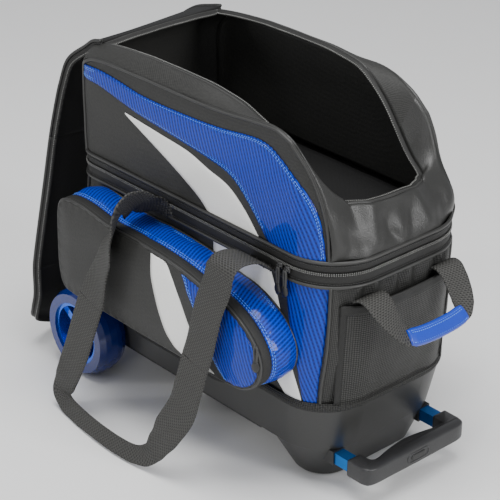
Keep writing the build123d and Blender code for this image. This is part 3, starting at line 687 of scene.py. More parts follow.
WHITE_LOW_A = [(52, 296), (58, 262), (92, 215), (150, 165), (190, 128)]
WHITE_LOW_B = [(158, 296), (170, 270), (183, 240), (195, 204), (205, 172), (216, 141), (219, 129)]
BLUE_LOW_A = [(176, 296), (184, 282), (197, 239), (205, 207), (211, 181), (215, 161), (219, 140), (222, 129)]
BLUE_LOW_B = [(247, 296), (247.5, 260), (246, 223), (244.5, 194), (242, 165), (240, 129)]
for side in ("front", "back"):
    parts = [panel("lower_white", WHITE_LOW_A, WHITE_LOW_B, wall_point, white_vinyl, 0.8),
             panel("lower_blue", BLUE_LOW_A, BLUE_LOW_B, wall_point, blue_vinyl, 1.0)]
    for p, label in zip(parts, ("white", "blue")):
        thicken(p, PATCH)
        settle(p)
        p.name = f"lower_{label}_{side}"
        if side == "back":
            mirror_y(p)
        belongs(p, "bag", "blue_vinyl" if label == "blue" else "charcoal_fabric")


def ring_line(z, grow=0.0, count=240, s0=None, s1=None):
    """Line round the body at a height, all the way or from s0 to s1, with its outward normals."""
    lo, hi = (FLAT_X0, FLAT_X0 + AROUND) if s0 is None else (s0, s1)
    n = count if s0 is None else count - 1
    pts, outs = [], []
    for i in range(count):
        p, out = ring(lo + (hi - lo) * i / n, z, grow)
        pts.append(taper(p, z))
        outs.append(out)
    return pts, outs


def ring_tape(name, z0, z1, grow, material, rows=6, belly=1.2, count=300, thick=1.6):
    """Tape round the whole body between two heights."""
    def spot(i, j):
        s = FLAT_X0 + AROUND * i / count
        p, n = ring(s, 0)
        t = j / (rows - 1)
        lo, hi = (z0(p.x), z1(p.x)) if callable(z0) else (z0, z1)
        z = lo + (hi - lo) * t
        return taper(Vector((p.x, p.y, z)), z) + n * (grow + belly * sin(pi * t))
    return grid(name, count, rows, spot, [material], closed=True, thick=thick,
                uv=lambda i, j: (AROUND * i / count, 20 * j / (rows - 1)))


low_tape = ring_tape("main_zip_lower_tape", BAND_LOW, BAND_SPLIT - 0.9, 0.8, tape)
belongs(low_tape, "bag", "zip_tape", "main_zip_lower")
up_tape = ring_tape("main_zip_upper_tape", BAND_SPLIT + 0.9, BAND_TOP, 0.8, tape)
belongs(up_tape, "shoe_compartment", "zip_tape", "main_zip_upper")
for name, z, body in (("lower_welt", BAND_LOW, "bag"), ("upper_welt", BAND_TOP + 0.5, "shoe_compartment")):
    pts, outs = ring_line(z, 2.0)
    belongs(sweep(name, pts, ring_section(2.4, 10), [welt], up=outs, closed=True), body, "piping_fabric",
            *(["shoe_piping"] if body == "shoe_compartment" else []))
    pts, outs = ring_line(z + (4.4 if body == "bag" else -4.4), 2.4)
    belongs(stitches(name + "_stitches", pts, outs, dark_thread, 3.4), body, "zip_tape")
zip_from, zip_to = FLAT_X0 - R_LEFT * pi / 2 - 150, FLAT_X1 + 330
for name, z, body in (("zip_coil_lower", BAND_SPLIT - 1.0, "bag"),
                      ("zip_coil_upper", BAND_SPLIT + 1.0, "shoe_compartment")):
    pts, outs = ring_line(z, 2.6, 420, zip_from, zip_to)
    belongs(coil(name, pts, outs, 2.7, 1.7, 0.9), body, "zip_tape")

seams = []
for s, z0, lean in ((SEAM_RIGHT, 129, 5.0), (SEAM_LEFT, 143, 0.0)):
    heights = [z0 + (BAND_LOW - z0) * k / 40 for k in range(41)]
    pts = [wall_point(s - lean * smooth(220, 130, z), z, 1.2) for z in heights]
    for side in (1, -1):
        line = [Vector((p.x, p.y * side, p.z)) for p in pts]
        seams.append(sweep("seam", line, ring_section(2.3, 10), [welt], up=(1, 0, 0)))
belongs(join("wall_welts", seams), "bag", "piping_fabric", "wall_piping")

bind = ring_tape("tub_binding_tape", lambda x: hem(x) - 9.5, lambda x: hem(x) + 3.5, 1.2, binding, 9, 3.4)
belongs(bind, "bag", "binding_fabric", "tub_binding")

STRIP_X0, STRIP_LENGTH, STRIP_Z0, STRIP_WIDTH = -180, 366, 306, 15


def strip_spot(i, j):
    """Point of the hinge strip along the back."""
    y = HALF_W + 1.6 + 1.2 * sin(pi * j / 6)
    return Vector((STRIP_X0 + STRIP_LENGTH * i / 59, y, STRIP_Z0 + STRIP_WIDTH * j / 6))


strip = grid("fold_hinge_fabric", 60, 7, strip_spot, [charcoal], thick=1.2,
             uv=lambda i, j: (STRIP_LENGTH * i / 59, 2.5 * j))
settle(strip)
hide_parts("fold_hinge_strip")
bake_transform(strip)

# ------------------------------------------------------------------ shoe compartment
LEFT_EDGE = [(-207, 326), (-212, 345), (-213, 390), (-212, 430), (-205, 454)]
TOP_EDGE = [(-205, 454), (-187, 464), (-160, 469), (-85, 471), (68, 473), (140, 480), (170, 481), (198, 473)]
RIGHT_EDGE = [(247, 326), (244, 377), (235, 417), (221, 448), (198, 473)]
left_line, top_line, right_line = (flat_line(e, 80) for e in (LEFT_EDGE, TOP_EDGE, RIGHT_EDGE))
bottom_line = [left_line[0].lerp(right_line[0], k / 79) for k in range(80)]
NU, NV = 96, 34


def shoe_uv(i, j):
    """Place on the shoe compartment's front panel, as along and up."""
    q = coons(bottom_line, top_line, left_line, right_line, i / (NU - 1), j / (NV - 1))
    return (q.x, q.y)


def sag_back(obj):
    """The back of the empty compartment's handle end slumps lower than the front."""
    for v in obj.data.vertices:
        x, y, z = v.co / MM
        t = smooth(0, 105, y) * smooth(80, 235, x) * smooth(335, 450, z)
        v.co.z -= 42 * t * MM
        v.co.x -= 14 * t * MM
        v.co.y -= 6 * t * MM
    return obj


front_panel = grid("shoe_front_cloth", NU, NV, lambda i, j: shoe_point(*shoe_uv(i, j)), [charcoal],
                   uv=shoe_uv, thick=3.0)
back_panel = sag_back(back_copy(front_panel, "shoe_back_cloth"))
belongs(front_panel, "shoe_compartment", "charcoal_fabric", "shoe_front_panel")
belongs(back_panel, "shoe_compartment", "charcoal_fabric", "shoe_back_panel")

BLUE_UP_A = [(-207, 453), (-168, 455), (-127, 452), (-86, 447), (-7, 447), (68, 451), (140, 459), (160, 456),
             (178, 448), (201, 434), (224, 411), (235, 389), (241, 351), (243, 327)]
BLUE_UP_B = [(-211, 435), (-170, 434), (-128, 427), (-87, 420), (-8, 412), (58, 404), (86, 398), (104, 388),
             (130, 361), (149, 337), (158, 329), (175, 327.5), (210, 327), (236, 327)]
WHITE_UP_A = [(-114, 413), (-48, 407), (11, 401), (49, 390), (86, 380), (113, 359), (139, 328)]
WHITE_UP_B = [(-114, 412), (-68, 392), (-10, 365), (29, 343), (46, 328)]
for side in ("front", "back"):
    group = [(panel("upper_blue", BLUE_UP_A, BLUE_UP_B, shoe_point, blue_vinyl, 1.1, 18, 140), "blue_vinyl"),
             (panel("upper_white", WHITE_UP_A, WHITE_UP_B, shoe_point, white_vinyl, 0.8), "charcoal_fabric"),
             (seam_stitches("upper_thread_a", BLUE_UP_A, BLUE_UP_B, shoe_point), "blue_vinyl"),
             (seam_stitches("upper_thread_b", BLUE_UP_B[:10], BLUE_UP_A[:10], shoe_point), "blue_vinyl")]
    for p, slot in group:
        if "thread" not in p.name:
            thicken(p, PATCH)
            settle(p)
        p.name = p.name.split(".")[0] + "_" + side
        if side == "back":
            sag_back(mirror_y(p))
        belongs(p, "shoe_compartment", slot)

seam_path = even(left_line + top_line[1:] + list(reversed(right_line))[1:], 170)
seam_line = [shoe_point(q.x, q.y, 1.0) for q in seam_path]
for tag, side in (("front", 1), ("back", -1)):
    pts = [Vector((p.x, p.y * side, p.z)) for p in seam_line]
    belongs(sag_back(sweep(f"shoe_welt_{tag}", pts, ring_section(2.6, 10), [welt], up=(0, -1, 0))),
            "shoe_compartment", "piping_fabric")

# The gusset runs through stations from the wheel end to the handle end. Each gives a point of the welt,
# as along and up, one of the opening's rim, and one of the middle where the opening doesn't cut it.
STATIONS = [
    ((-209, 325), (-224, -94, 325), (-225, 0, 325)),
    ((-212, 390), (-227, -94, 390), (-230, 0, 390)),
    ((-212, 435), (-224, -94, 440), (-228, 0, 442)),
    ((-204, 455), (-212, -95, 467), (-215, 0, 470)),
    ((-187, 464), (-190, -97, 477), (-190, 0, 479)),
    ((-120, 470), (-120, -100, 484), None),
    ((0, 472), (0, -101, 487), None),
    ((70, 473), (72, -101, 480), None),
    ((140, 480), (128, -100, 462), None),
    ((170, 481), (165, -98, 444), None),
    ((198, 473), (197, -94, 417), None),
    ((221, 448), (224, -84, 397), None),
    ((235, 417), (233, -68, 389), (246, 0, 385)),
    ((244, 377), (252, -66, 356), (256, 0, 352)),
    ((248, 325), (263, -60, 325), (265, 0, 325))]
OPEN_FROM, OPEN_TO, FINE = 4, 12, 8
weltline = [shoe_point(*st[0]) for st in STATIONS]
rimline = [Vector(st[1]) for st in STATIONS]
midline = [Vector(st[2]) if st[2] else rimline[k] * 1 for k, st in enumerate(STATIONS)]


welt_t, rim_t, mid_t = (through(line, FINE) for line in (weltline, rimline, midline))
mid_t[:OPEN_FROM * FINE] = through(midline[:OPEN_FROM + 1], FINE)[:-1]
mid_t[OPEN_TO * FINE:] = through(midline[OPEN_TO:], FINE)
ROWS_G = len(welt_t)
RIM_W = 0.8
ACROSS = ([-1 + 0.2 * k / 7 for k in range(7)] + [-RIM_W + 2 * RIM_W * k / 36 for k in range(37)]
          + [RIM_W + 0.2 * (k + 1) / 7 for k in range(7)])


def gusset_spot(i, j):
    """Point of the gusset at fine station i, column j from the front welt over to the back welt."""
    w = ACROSS[j]
    a = abs(w)
    welt_p, rim_p, mid_p = welt_t[i], rim_t[i], mid_t[i]
    if a >= RIM_W:
        t = (a - RIM_W) / (1 - RIM_W)
        p = rim_p.lerp(welt_p, t) + Vector((0, 0, 2.0 * sin(pi * t)))
    else:
        t = a / RIM_W
        p = Vector((mid_p.x + (rim_p.x - mid_p.x) * t**2, rim_p.y * t, mid_p.z + (rim_p.z - mid_p.z) * t**2))
    at_end = smooth(190, 250, p.x) * smooth(326, 345, p.z)
    phase = p.y / 9.5 + 1.6 * noise.noise(Vector((p.y / 30, p.z / 30, 2)))
    fold = 4.6 * at_end * sin(phase) * (0.35 + 0.65 * smooth(400, 335, p.z))
    p.x += fold * 0.8 + 1.5 * at_end * noise.noise(p / 24)
    p.z += 1.2 * noise.noise(p / 40)
    if w > 0:
        p.y = -p.y
    return p


def in_opening(i, j):
    """Whether the gusset's face at i, j lies in the opening for shoes."""
    return OPEN_FROM * FINE <= i < OPEN_TO * FINE and -RIM_W <= ACROSS[j] < RIM_W - 1e-6


gusset = grid("shoe_gusset_skin", ROWS_G, len(ACROSS), gusset_spot, [leather, charcoal], skip=in_opening,
              uv=lambda i, j: (i * 8.0, ACROSS[j] * 120), thick=3.0, into=1.0,
              pick=lambda i, j: 0 if i > 9 * FINE else 1)
belongs(sag_back(gusset), "shoe_compartment", "gusset_leather", "shoe_gusset")

# rim of the opening, a closed line through the gusset's columns at its edges
RIM_STEPS = 300
j_front, j_back = 7, 7 + 36
rim_loop = [gusset_spot(i, j_front) for i in range(OPEN_FROM * FINE, OPEN_TO * FINE)]
rim_loop += [gusset_spot(OPEN_TO * FINE, j) for j in range(j_front, j_back)]
rim_loop += [gusset_spot(i, j_back) for i in range(OPEN_TO * FINE, OPEN_FROM * FINE, -1)]
rim_loop += [gusset_spot(OPEN_FROM * FINE, j) for j in range(j_back, j_front, -1)]
rim_loop = even(rim_loop + rim_loop[:1], RIM_STEPS, True)
inward = []
for k, p in enumerate(rim_loop):
    d = (rim_loop[(k + 3) % RIM_STEPS] - rim_loop[k - 3]).normalized()
    v = (Vector((min(max(p.x, -120), 150), 0, p.z)) - p)
    v = (v - d * v.dot(d)).normalized()
    inward.append(v)
rim_out = []
for k, v in enumerate(inward):
    o = (rim_loop[(k + 1) % RIM_STEPS] - rim_loop[k - 1]).normalized().cross(v).normalized()
    rim_out.append(o if o.z > -0.2 else -o)


def rim_tape_spot(i, j):
    """Point of the zip tape that turns in from the rim."""
    t = j / 5
    return rim_loop[i] + inward[i] * (9.5 * t - 1) + rim_out[i] * (1.6 * sin(pi * t) + 0.8 - 2 * t * t)


rim_tape = grid("rim_zip_tape", RIM_STEPS, 6, rim_tape_spot, [tape], closed=True, thick=1.4,
                uv=lambda i, j: (i * 4.0, j * 2.0))
rim_welt = sweep("rim_welt", [p + o * 1.2 for p, o in zip(rim_loop, rim_out)], ring_section(2.1, 8), [welt],
                 up=rim_out, closed=True)
coil_line = [p + v * 8.2 + o * 0.3 for p, v, o in zip(rim_loop, inward, rim_out)]
rim_coil = coil("rim_zip_coil", coil_line, rim_out, 2.7, 2.4, 0.9, closed=True)
for o in (rim_tape, rim_welt, rim_coil):
    belongs(sag_back(o), "shoe_compartment", "zip_tape")

# ------------------------------------------------------------------ lid
LID_OPEN = radians(-261)
LID_HALF, LID_ROWS = 101.0, 41
fold = joints["lid_fold"]
fold_at, fold_axis = Vector(fold["pos_m"]) / MM, Vector(fold["axis"]).normalized()
hang = Matrix.Rotation(LID_OPEN, 3, fold_axis)
lid_down, lid_across = hang @ Vector((1, 0, 0)), hang @ Vector((0, 1, 0))
lid_out = lid_down.cross(lid_across)
lid_out = lid_out if lid_out.x < 0 else -lid_out
LONG, MIDDLE, TIP = 316.0, 94.0, 65.0
MIDDLE_LEAN, TIP_LEAN = radians(6), radians(23)
# outward bow of the hanging lid, as distance down from the fold and bow
BOW = [(0, 3), (40, 11), (100, 17), (160, 17), (230, 13), (316, 7), (363, 6), (410, 3), (440, 1), (475, 0)]


def lid_bow(u, w):
    """Outward bow at u mm down from the fold, w mm across."""
    for (a, ha), (b, hb) in zip(BOW, BOW[1:]):
        if u <= b:
            h = ha + (hb - ha) * smooth(a, b, u)
            break
    else:
        h = 0
    return h * (0.75 - 0.25 * w / LID_HALF) + 2.0 * noise.noise(Vector((u / 90, w / 60, 4)))


def lid_sheet(u, w, h):
    """Point of the hanging lid at u mm down from the fold, w mm across, h mm outward."""
    p = fold_at + lid_down * min(u, LONG) + lid_across * w
    bent = lid_down * cos(MIDDLE_LEAN) - lid_out * sin(MIDDLE_LEAN)
    last = lid_down * cos(TIP_LEAN) + lid_out * sin(TIP_LEAN)
    if u > LONG:
        p += bent * (min(u, LONG + MIDDLE) - LONG)
    if u > LONG + MIDDLE:
        p += last * (u - LONG - MIDDLE)
    return p + lid_out * (h - 3)


def lid_half(u):
    """Half width, narrowing to a rounded tip."""
    if u < LONG + 60:
        return LID_HALF
    t = (u - LONG - 60) / (MIDDLE + TIP - 60)
    return LID_HALF - 26 * t**1.5 - 46 * max(0, (t - 0.55) / 0.45) ** 3


def lid_column(t):
    """One lengthwise line of the lid, t from -1 (front) to 1 (back)."""
    w0 = t * LID_HALF
    start = -0.1495 * w0
    line = [Vector((-190, w0, 481)), Vector((-206, w0, 477)), Vector((-225 - 0.1 * (w0 + 100), w0, 464))]
    for u in (start + 34, start + 70, 120, 165, 230, 290, 340, 363, 400, 430, 455, 475):
        u = max(u, start + 34)
        line.append(lid_sheet(u, t * lid_half(u), lid_bow(u, w0)))
    return line


LID_FINE = 10
lid_columns = [through(lid_column(-1 + 2 * j / (LID_ROWS - 1)), LID_FINE) for j in range(LID_ROWS)]
cut_a, cut_b = 6 * LID_FINE, 10 * LID_FINE
last_row = len(lid_columns[0]) - 1


def lid_normal(i, j):
    """Outward direction of the lid at row i, column j."""
    a, b = lid_columns[j][max(i - 1, 0)], lid_columns[j][min(i + 1, last_row)]
    c, d = lid_columns[max(j - 1, 0)][i], lid_columns[min(j + 1, LID_ROWS - 1)][i]
    n = (b - a).cross(d - c).normalized()
    return n if n.dot(lid_out) > 0 or (i < 40 and n.z > 0) else -n


EDGE_TAPE = [(-3.5, 3.2), (-1, 3.4), (1.0, 1.8), (1.6, 0), (1.8, -5.5), (1.6, -9), (-0.5, -9.2),
             (-1.2, -5.5), (-1.4, -2.8), (-3.5, -2.4)]


def lid_edge(i0, i1, j, inner):
    """Tape, zip coil and cord along one long edge; inner is a column further in."""
    edge, nrm = lid_columns[j][i0:i1 + 1], [lid_normal(i, j) for i in range(i0, i1 + 1)]
    out = [(p - q).normalized() for p, q in zip(edge, lid_columns[inner][i0:i1 + 1])]
    verts, uvs, m = [], [], len(EDGE_TAPE)
    for p, a, o in zip(edge, nrm, out):
        verts += [p + o * across + a * up for across, up in EDGE_TAPE]
        uvs += [(up, line_length(edge[:2]) * len(uvs) / m) for across, up in EDGE_TAPE]
    return [make("lid_edge", verts, tube_faces(len(edge), m), uvs, [tape], solid=True),
            coil("lid_coil", [p + o * 2.4 - a * 6.8 for p, a, o in zip(edge, nrm, out)], out, 2.7, 1.8, 0.7),
            sweep("lid_edge_cord", [p + o * 1.6 + a * 2.2 for p, a, o in zip(edge, nrm, out)],
                  ring_section(2.3), [welt])]


def lid_piece(name, i0, i1, *nodes):
    """One length of the lid, from row i0 to row i1, which stands for the nodes."""
    skin = grid(name + "_cloth", i1 - i0 + 1, LID_ROWS, lambda i, j: lid_columns[j][i0 + i], [lining],
                thick=4.0, into=0.0, uv=lambda i, j: ((i0 + i) * 3.6, j * 5.0))
    parts = [settle(skin)] + lid_edge(i0, i1, 0, 2) + lid_edge(i0, i1, LID_ROWS - 1, LID_ROWS - 3)
    if i1 == last_row:
        edge = [column[last_row] for column in lid_columns]
        parts.append(sweep("lid_tip_cord", even(edge, 60), ring_section(3.2, 10), [tape]))
    piece = join(name, parts)
    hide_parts(*nodes)
    return piece


lid_upper = lid_piece("lid_upper", 0, cut_a, "lid_root", "lid_long_panel")
lid_lower = lid_piece("lid_lower", cut_a, cut_b, "lid_middle_panel")
lid_end = lid_piece("lid_end", cut_b, last_row, "lid_tip_panel")
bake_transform(lid_upper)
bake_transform(lid_lower)
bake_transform(lid_end)

# ------------------------------------------------------------------ front pocket
POCKET_Y0, POCKET_FACE_Y = -123.0, -184.0
POCKET_EDGE = [(-182, 158), (-190, 178), (-191, 222), (-188, 268), (-182, 282), (-168, 288), (-137, 289),
               (-85, 282), (-23, 282), (36, 279), (74, 274), (103, 268), (140, 262), (169, 251), (191, 235),
               (205, 216), (209, 198), (204, 180), (193, 168), (176, 159), (150, 156), (80, 155), (0, 154),
               (-90, 154), (-160, 154)]
EDGE_STEPS = 240
edge = spline([(a, b, 0) for a, b in POCKET_EDGE], EDGE_STEPS, closed=True)
edge_out = []
for k, p in enumerate(edge):
    d = (edge[(k + 2) % EDGE_STEPS] - edge[k - 2]).normalized()
    n = Vector((d.y, -d.x, 0))
    mid = Vector((min(max(p.x, -120), 140), 216, 0))
    edge_out.append(n if n.dot(p - mid) > 0 else -n)
coarse = edge[::4]


def pocket_face(x, z, lift=0.0):
    """Point of the pocket's slightly domed face."""
    near = min(hypot(x - p.x, z - p.y) for p in coarse)
    dome = 1 - (1 - min(near / 34, 1)) ** 2
    crease = 1.0 * noise.noise(Vector((x / 60, z / 30, 8)))
    return Vector((x, POCKET_FACE_Y - 4.5 * dome - (crease * min(near / 20, 1)) - lift, z))


def edge_near(x, z):
    """Index of the outline's point nearest to a place."""
    return min(range(EDGE_STEPS), key=lambda k: hypot(edge[k].x - x, edge[k].y - z))


corner_a, corner_b = edge_near(-186, 162), edge_near(-184, 280)
corner_c, corner_d = edge_near(199, 226), edge_near(180, 160)
face_left = even(edge[corner_a:corner_b + 1], 40)
face_top = even(edge[corner_b:corner_c + 1], 80)
face_right = list(reversed(even(edge[corner_c:corner_d + 1], 40)))
face_low = list(reversed(even(edge[corner_d:] + edge[:corner_a + 1], 80)))


def face_cloth(i, j):
    """Place on the face of the cloth's column i and row j, closer together at the edges."""
    u, v = (0.5 - 0.5 * cos(pi * t) for t in (i / 79, j / 33))
    q = coons(face_low, face_top, face_left, face_right, 0.5 * (u + i / 79), 0.5 * (v + j / 33))
    return (q.x, q.y)


pocket_skin = grid("pocket_face_cloth", 80, 34, lambda i, j: pocket_face(*face_cloth(i, j)), [charcoal],
                   uv=face_cloth, thick=2.5, into=-1.0)
belongs(pocket_skin, "bag", "charcoal_fabric", "pocket_front_panel")

POCKET_WHITE_A = [(7, 279), (11, 243), (24, 202), (39, 175), (56, 161), (75, 155.5)]
POCKET_WHITE_B = [(36, 278), (55, 257), (70, 231), (83, 208), (97, 186), (112, 168), (127, 156.5)]
POCKET_BLUE_A = [(67, 273), (87, 243), (104, 217), (120, 192), (135, 171), (150, 157.5)]
POCKET_BLUE_B = [(104, 266), (144, 260), (172, 248), (191, 233), (204, 214), (206, 196), (202, 181),
                 (190, 168), (172, 159.5), (152, 157.5)]
pocket_white = panel("pocket_white", POCKET_WHITE_A, POCKET_WHITE_B, pocket_face, white_vinyl, 0.9, 10, 60)
pocket_blue = panel("pocket_blue", POCKET_BLUE_A, POCKET_BLUE_B, pocket_face, blue_vinyl, 0.9, 18, 60)
for patch, slot in ((pocket_white, "charcoal_fabric"), (pocket_blue, "blue_vinyl")):
    thicken(patch, PATCH)
    settle(patch)
    belongs(patch, "bag", slot)
belongs(seam_stitches("pocket_thread", POCKET_BLUE_A, POCKET_BLUE_B, pocket_face, (3.5, 6.0), 60), "bag",
        "blue_vinyl")


def pocket_ring(name, y0, y1, grow, belly, material, rows=8, thick=1.6, wrinkle=0.0):
    """Strip round the pocket between two depths."""
    def spot(i, j):
        t = j / (rows - 1)
        p, n = edge[i], edge_out[i]
        g = grow + belly * sin(pi * t) + wrinkle * noise.noise(Vector((i / 7, t * 3, 1)))
        return Vector((p.x + n.x * g, y0 + (y1 - y0) * t, p.y + n.y * g))
    return grid(name, EDGE_STEPS, rows, spot, [material], closed=True, thick=thick,
                uv=lambda i, j: (i * 4.6, (y1 - y0) * j / (rows - 1)))


def pocket_line(y, grow):
    """Line round the pocket at one depth."""
    return [Vector((p.x + n.x * grow, y, p.y + n.y * grow)) for p, n in zip(edge, edge_out)]


pocket_outs = [Vector((n.x, 0, n.y)) for n in edge_out]
belongs(pocket_ring("pocket_side", POCKET_Y0, -167, -0.5, 4.0, blue_vinyl, 12, 2.0, 1.2), "bag", "blue_vinyl",
        "pocket_gusset")
band_parts = [settle(pocket_ring("pocket_zip_band", -166, -180.5, 0.6, 0.8, tape, 6)),
              coil("pocket_coil", pocket_line(-173.2, 1.9), pocket_outs, 2.6, 3.2, 0.9, closed=True)]
for y in (-168.6, -178.2):
    band_parts.append(stitches("pocket_band_thread", pocket_line(y, 1.6), pocket_outs, dark_thread, 3.4))
belongs(join("pocket_zip_band", band_parts), "bag", "zip_tape", "pocket_zip")
belongs(sweep("pocket_face_welt", [Vector((p.x, -182.6, p.y)) + o * 0.6 for p, o in zip(edge, pocket_outs)],
              ring_section(2.5, 10), [welt], up=pocket_outs, closed=True), "bag", "piping_fabric")
belongs(sweep("pocket_back_welt", pocket_line(-124.8, 1.0), ring_section(2.3, 10), [welt], up=pocket_outs,
              closed=True), "bag", "piping_fabric")
rows = [stitches("pocket_side_thread", pocket_line(y, grow), pocket_outs, thread)
        for y, grow in ((-163.6, 2.4), (-160.8, 3.2), (-129.6, 2.4), (-132.4, 3.2))]
belongs(join("pocket_side_thread", rows), "bag", "blue_vinyl")

# ------------------------------------------------------------------ mesh pocket on the handle end
END_MID = LEGS[0] + LEGS[1] + LEGS[2] / 2 + FLAT_X0


def mesh_spot(i, j, lift=0.0):
    """Point of the net, which stands fullest in its middle and near its hem."""
    a, v = -1 + 2 * i / 60, j / 24
    z = 131 + 138 * v
    p, n = ring(END_MID + a * 96, z)
    out = 2.6 + 9.5 * (1 - abs(a) ** 2.4) * (0.35 + 0.65 * smooth(0, 0.5, v)) * min(1, 5 * v + 0.2)
    sag = 0.9 * noise.noise(Vector((a * 4, v * 4, 6)))
    return taper(p, z) + n * (out + sag + lift)


mesh_cloth = grid("mesh_pocket_net", 61, 25, mesh_spot, [net], uv=lambda i, j: (i * 3.2, j * 5.6), thick=1.2)
hem_band = grid("mesh_pocket_hem", 61, 5, lambda i, j: mesh_spot(i, 22.2 + j * 0.55, 1.0), [tape],
                uv=lambda i, j: (i * 3.2, j * 3.0), thick=2.2)
side_bands = [grid("mesh_pocket_side", 4, 25, lambda i, j, e=e, d=d: mesh_spot(e + i * d, j, 0.9), [tape],
                   uv=lambda i, j: (i * 3.0, j * 5.6), thick=1.6) for e, d in ((0, 0.8), (60, -0.8))]
for o in [mesh_cloth, hem_band] + side_bands:
    settle(o)
belongs(join("mesh_pocket_net", [mesh_cloth, hem_band] + side_bands), "bag", "mesh_fabric", "mesh_pocket")


# ------------------------------------------------------------------ straps
STRAP_THICK = 3.0
ACROSS_STRAP = [-0.48 + 0.96 * k / 10 for k in range(11)]
STRAP_SECTION = ([(-0.5, 0)] + [(a, 0.5) for a in ACROSS_STRAP] + [(0.5, 0)]
                 + [(-a, -0.5) for a in ACROSS_STRAP])


def ribbon(name, points, facings, widths, count):
    """Webbing through the points; facings and widths are given at each point."""
    path = spline(points, count)
    marks, reach = distances([Vector(p) for p in points]), distances(path)

    def blend_at(values, far):
        want = far / reach[-1] * marks[-1]
        k = 0
        while k < len(marks) - 2 and marks[k + 1] < want:
            k += 1
        t = smooth(marks[k], marks[k + 1], want)
        return values[k] * (1 - t) + values[k + 1] * t
    facing = [Vector(f) for f in facings]
    verts, uvs = [], []
    for p, (d, _, _), far in zip(path, frames(path), reach):
        s = d.cross(blend_at(facing, far)).normalized()
        o = s.cross(d).normalized()
        w = blend_at(widths, far)
        for a, b in STRAP_SECTION:
            crown = (1 - (2 * a) ** 6) * 0.25 + 0.75
            verts.append(p + s * a * w + o * b * STRAP_THICK * crown)
            uvs.append((a * w, far))
    return make(name, verts, tube_faces(count, len(STRAP_SECTION)), uvs, [webbing], solid=True)


FRONT_Z, BACK_Z = 316.0, 288.0      # height of the straps' shoulders
LEFT_X, RIGHT_X = -48, 148
LEFT_LEG = [(-70, 245), (-92, 178)]
RIGHT_LEG = [(137, 262), (124, 200), (118, 178)]


def upper_strap(name, x, leg, front):
    """Root, shoulder and upper leg of one end of a carry strap; leg gives its points, as along and up."""
    z0 = FRONT_Z if front else BACK_Z
    if front:
        root = [(x, -124, 296.5), (x, -134, 305), (x, -148, 315.5), (x, -168, 321.5), (x, -183, 320.5),
                (x, -191.5, 314)]
    else:
        root = [(x, -123.6, 258), (x, -125.5, 274), (x, -138, 290), (x, -162, 297), (x, -181, 296),
                (x, -191, 287)]
    low = (x + (leg[0][0] - x) * 0.3, -194.8 if front else -194, z0 - (24 if front else 14))
    pts = root + [low, (leg[0][0], -201, leg[0][1])]
    pts += [(a, -201 - 7.5 * (245 - b) / 67, b) for a, b in leg[1:]]
    if front:
        out = [(0, -0.6, .8), (0, -.6, .8), (0, -.3, 1), (0, 0, 1), (0, -.6, .8), (0, -1, .25)]
    else:
        out = [(0, -1, .1), (0, -.9, .4), (0, -.4, 1), (0, 0, 1), (0, -.6, .8), (0, -1, .25)]
    out += [(0, -1, 0.1)] * (len(pts) - len(out))
    if x < 0:
        out = out[:1] + [(-.2, -.5, .8), (-.5, -.2, .8), (-.9, 0, .5), (-.9, -.4, .3), (-.9, -.55, .1),
                         (-.85, -.75, .05), (-.45, -1, .05)] + out[8:]
    return ribbon(name, pts, out, [50.0] * len(pts), 90)


def strap_side(front):
    """Both pieces of one carry strap: its shoulders, and the loop that lies on the floor."""
    tag = "front" if front else "back"
    uppers = [upper_strap("upper", LEFT_X, LEFT_LEG, front), upper_strap("upper", RIGHT_X, RIGHT_LEG, front)]
    if front:
        up, along = Vector((0, 0, 1)), Vector((1, 0, 0))
        for x in (LEFT_X, RIGHT_X):
            tacks = [(Vector((x + dx, -128.5, 300.5)), up, along, (5, .5, .5)) for dx in (-18, -6, 6, 18)]
            uppers.append(blocks("root_tack", tacks, [dark_thread]))
    upper = join(f"strap_upper_{tag}", uppers)
    low = [(-92, -208.5, 178), (-102, -214, 142), (-111, -218.6, 108), (-121, -223, 78), (-133, -226, 48),
           (-143, -226, 27), (-132, -229, 15.5), (-104, -234, 13), (-50, -240, 13.5), (0, -241, 13.5),
           (30, -238, 14.5), (52, -234, 23), (68, -230, 45), (84, -226.5, 72), (103, -218.6, 108),
           (111, -214, 142), (118, -208.5, 178)]
    face = [(0, -1, .1)] * 4 + [(.15, -1, .15), (.2, -1, .3), (0, -1, .45)] + [(0, -1, .45)] * 4 + \
        [(-.1, -1, .3), (-.1, -1, .15)] + [(0, -1, .1)] * 4
    widths = [50.0, 50, 50, 47, 40, 32, 27, 25, 24, 24, 25, 30, 40, 48, 50, 50, 50]
    lower = ribbon(f"strap_lower_{tag}", low, face, widths, 260)
    if not front:
        mirror_y(upper)
        mirror_y(lower)
    for piece, nodes in ((upper, ["roots"]), (lower, ["legs", "loop"])):
        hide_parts(*(f"{tag}_strap_{node}" for node in nodes))
    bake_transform(upper)
    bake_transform(lower)


strap_side(True)
strap_side(False)

# ------------------------------------------------------------------ grab handle
side_leg = [(263, -64, 276.5), (272, -64, 281.5), (281, -63.5, 281), (292, -62.5, 273), (303, -60, 261),
            (313, -56, 250), (320, -50, 242), (323, -43, 238.5), (324, -24, 236.5), (324.5, 0, 236)]
leg_face = [(.4, 0, 1), (.2, 0, 1), (.5, 0, 1), (.8, 0, .7), (.8, .1, .7), (.8, .2, .7), (.8, .2, .7),
            (.8, .1, .7), (.8, 0, .7), (.8, 0, .7)]
leg_width = [42.0, 42, 42, 40, 36, 31, 26, 22, 20, 20]
whole = side_leg + [(x, -y, z) for x, y, z in reversed(side_leg[:-1])]
faces_all = leg_face + [(a, -b, c) for a, b, c in reversed(leg_face[:-1])]
grab = ribbon("grab_webbing_strap", whole, faces_all, leg_width + leg_width[-2::-1], 150)
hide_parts("grab_webbing", "grab_roots")
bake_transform(grab)

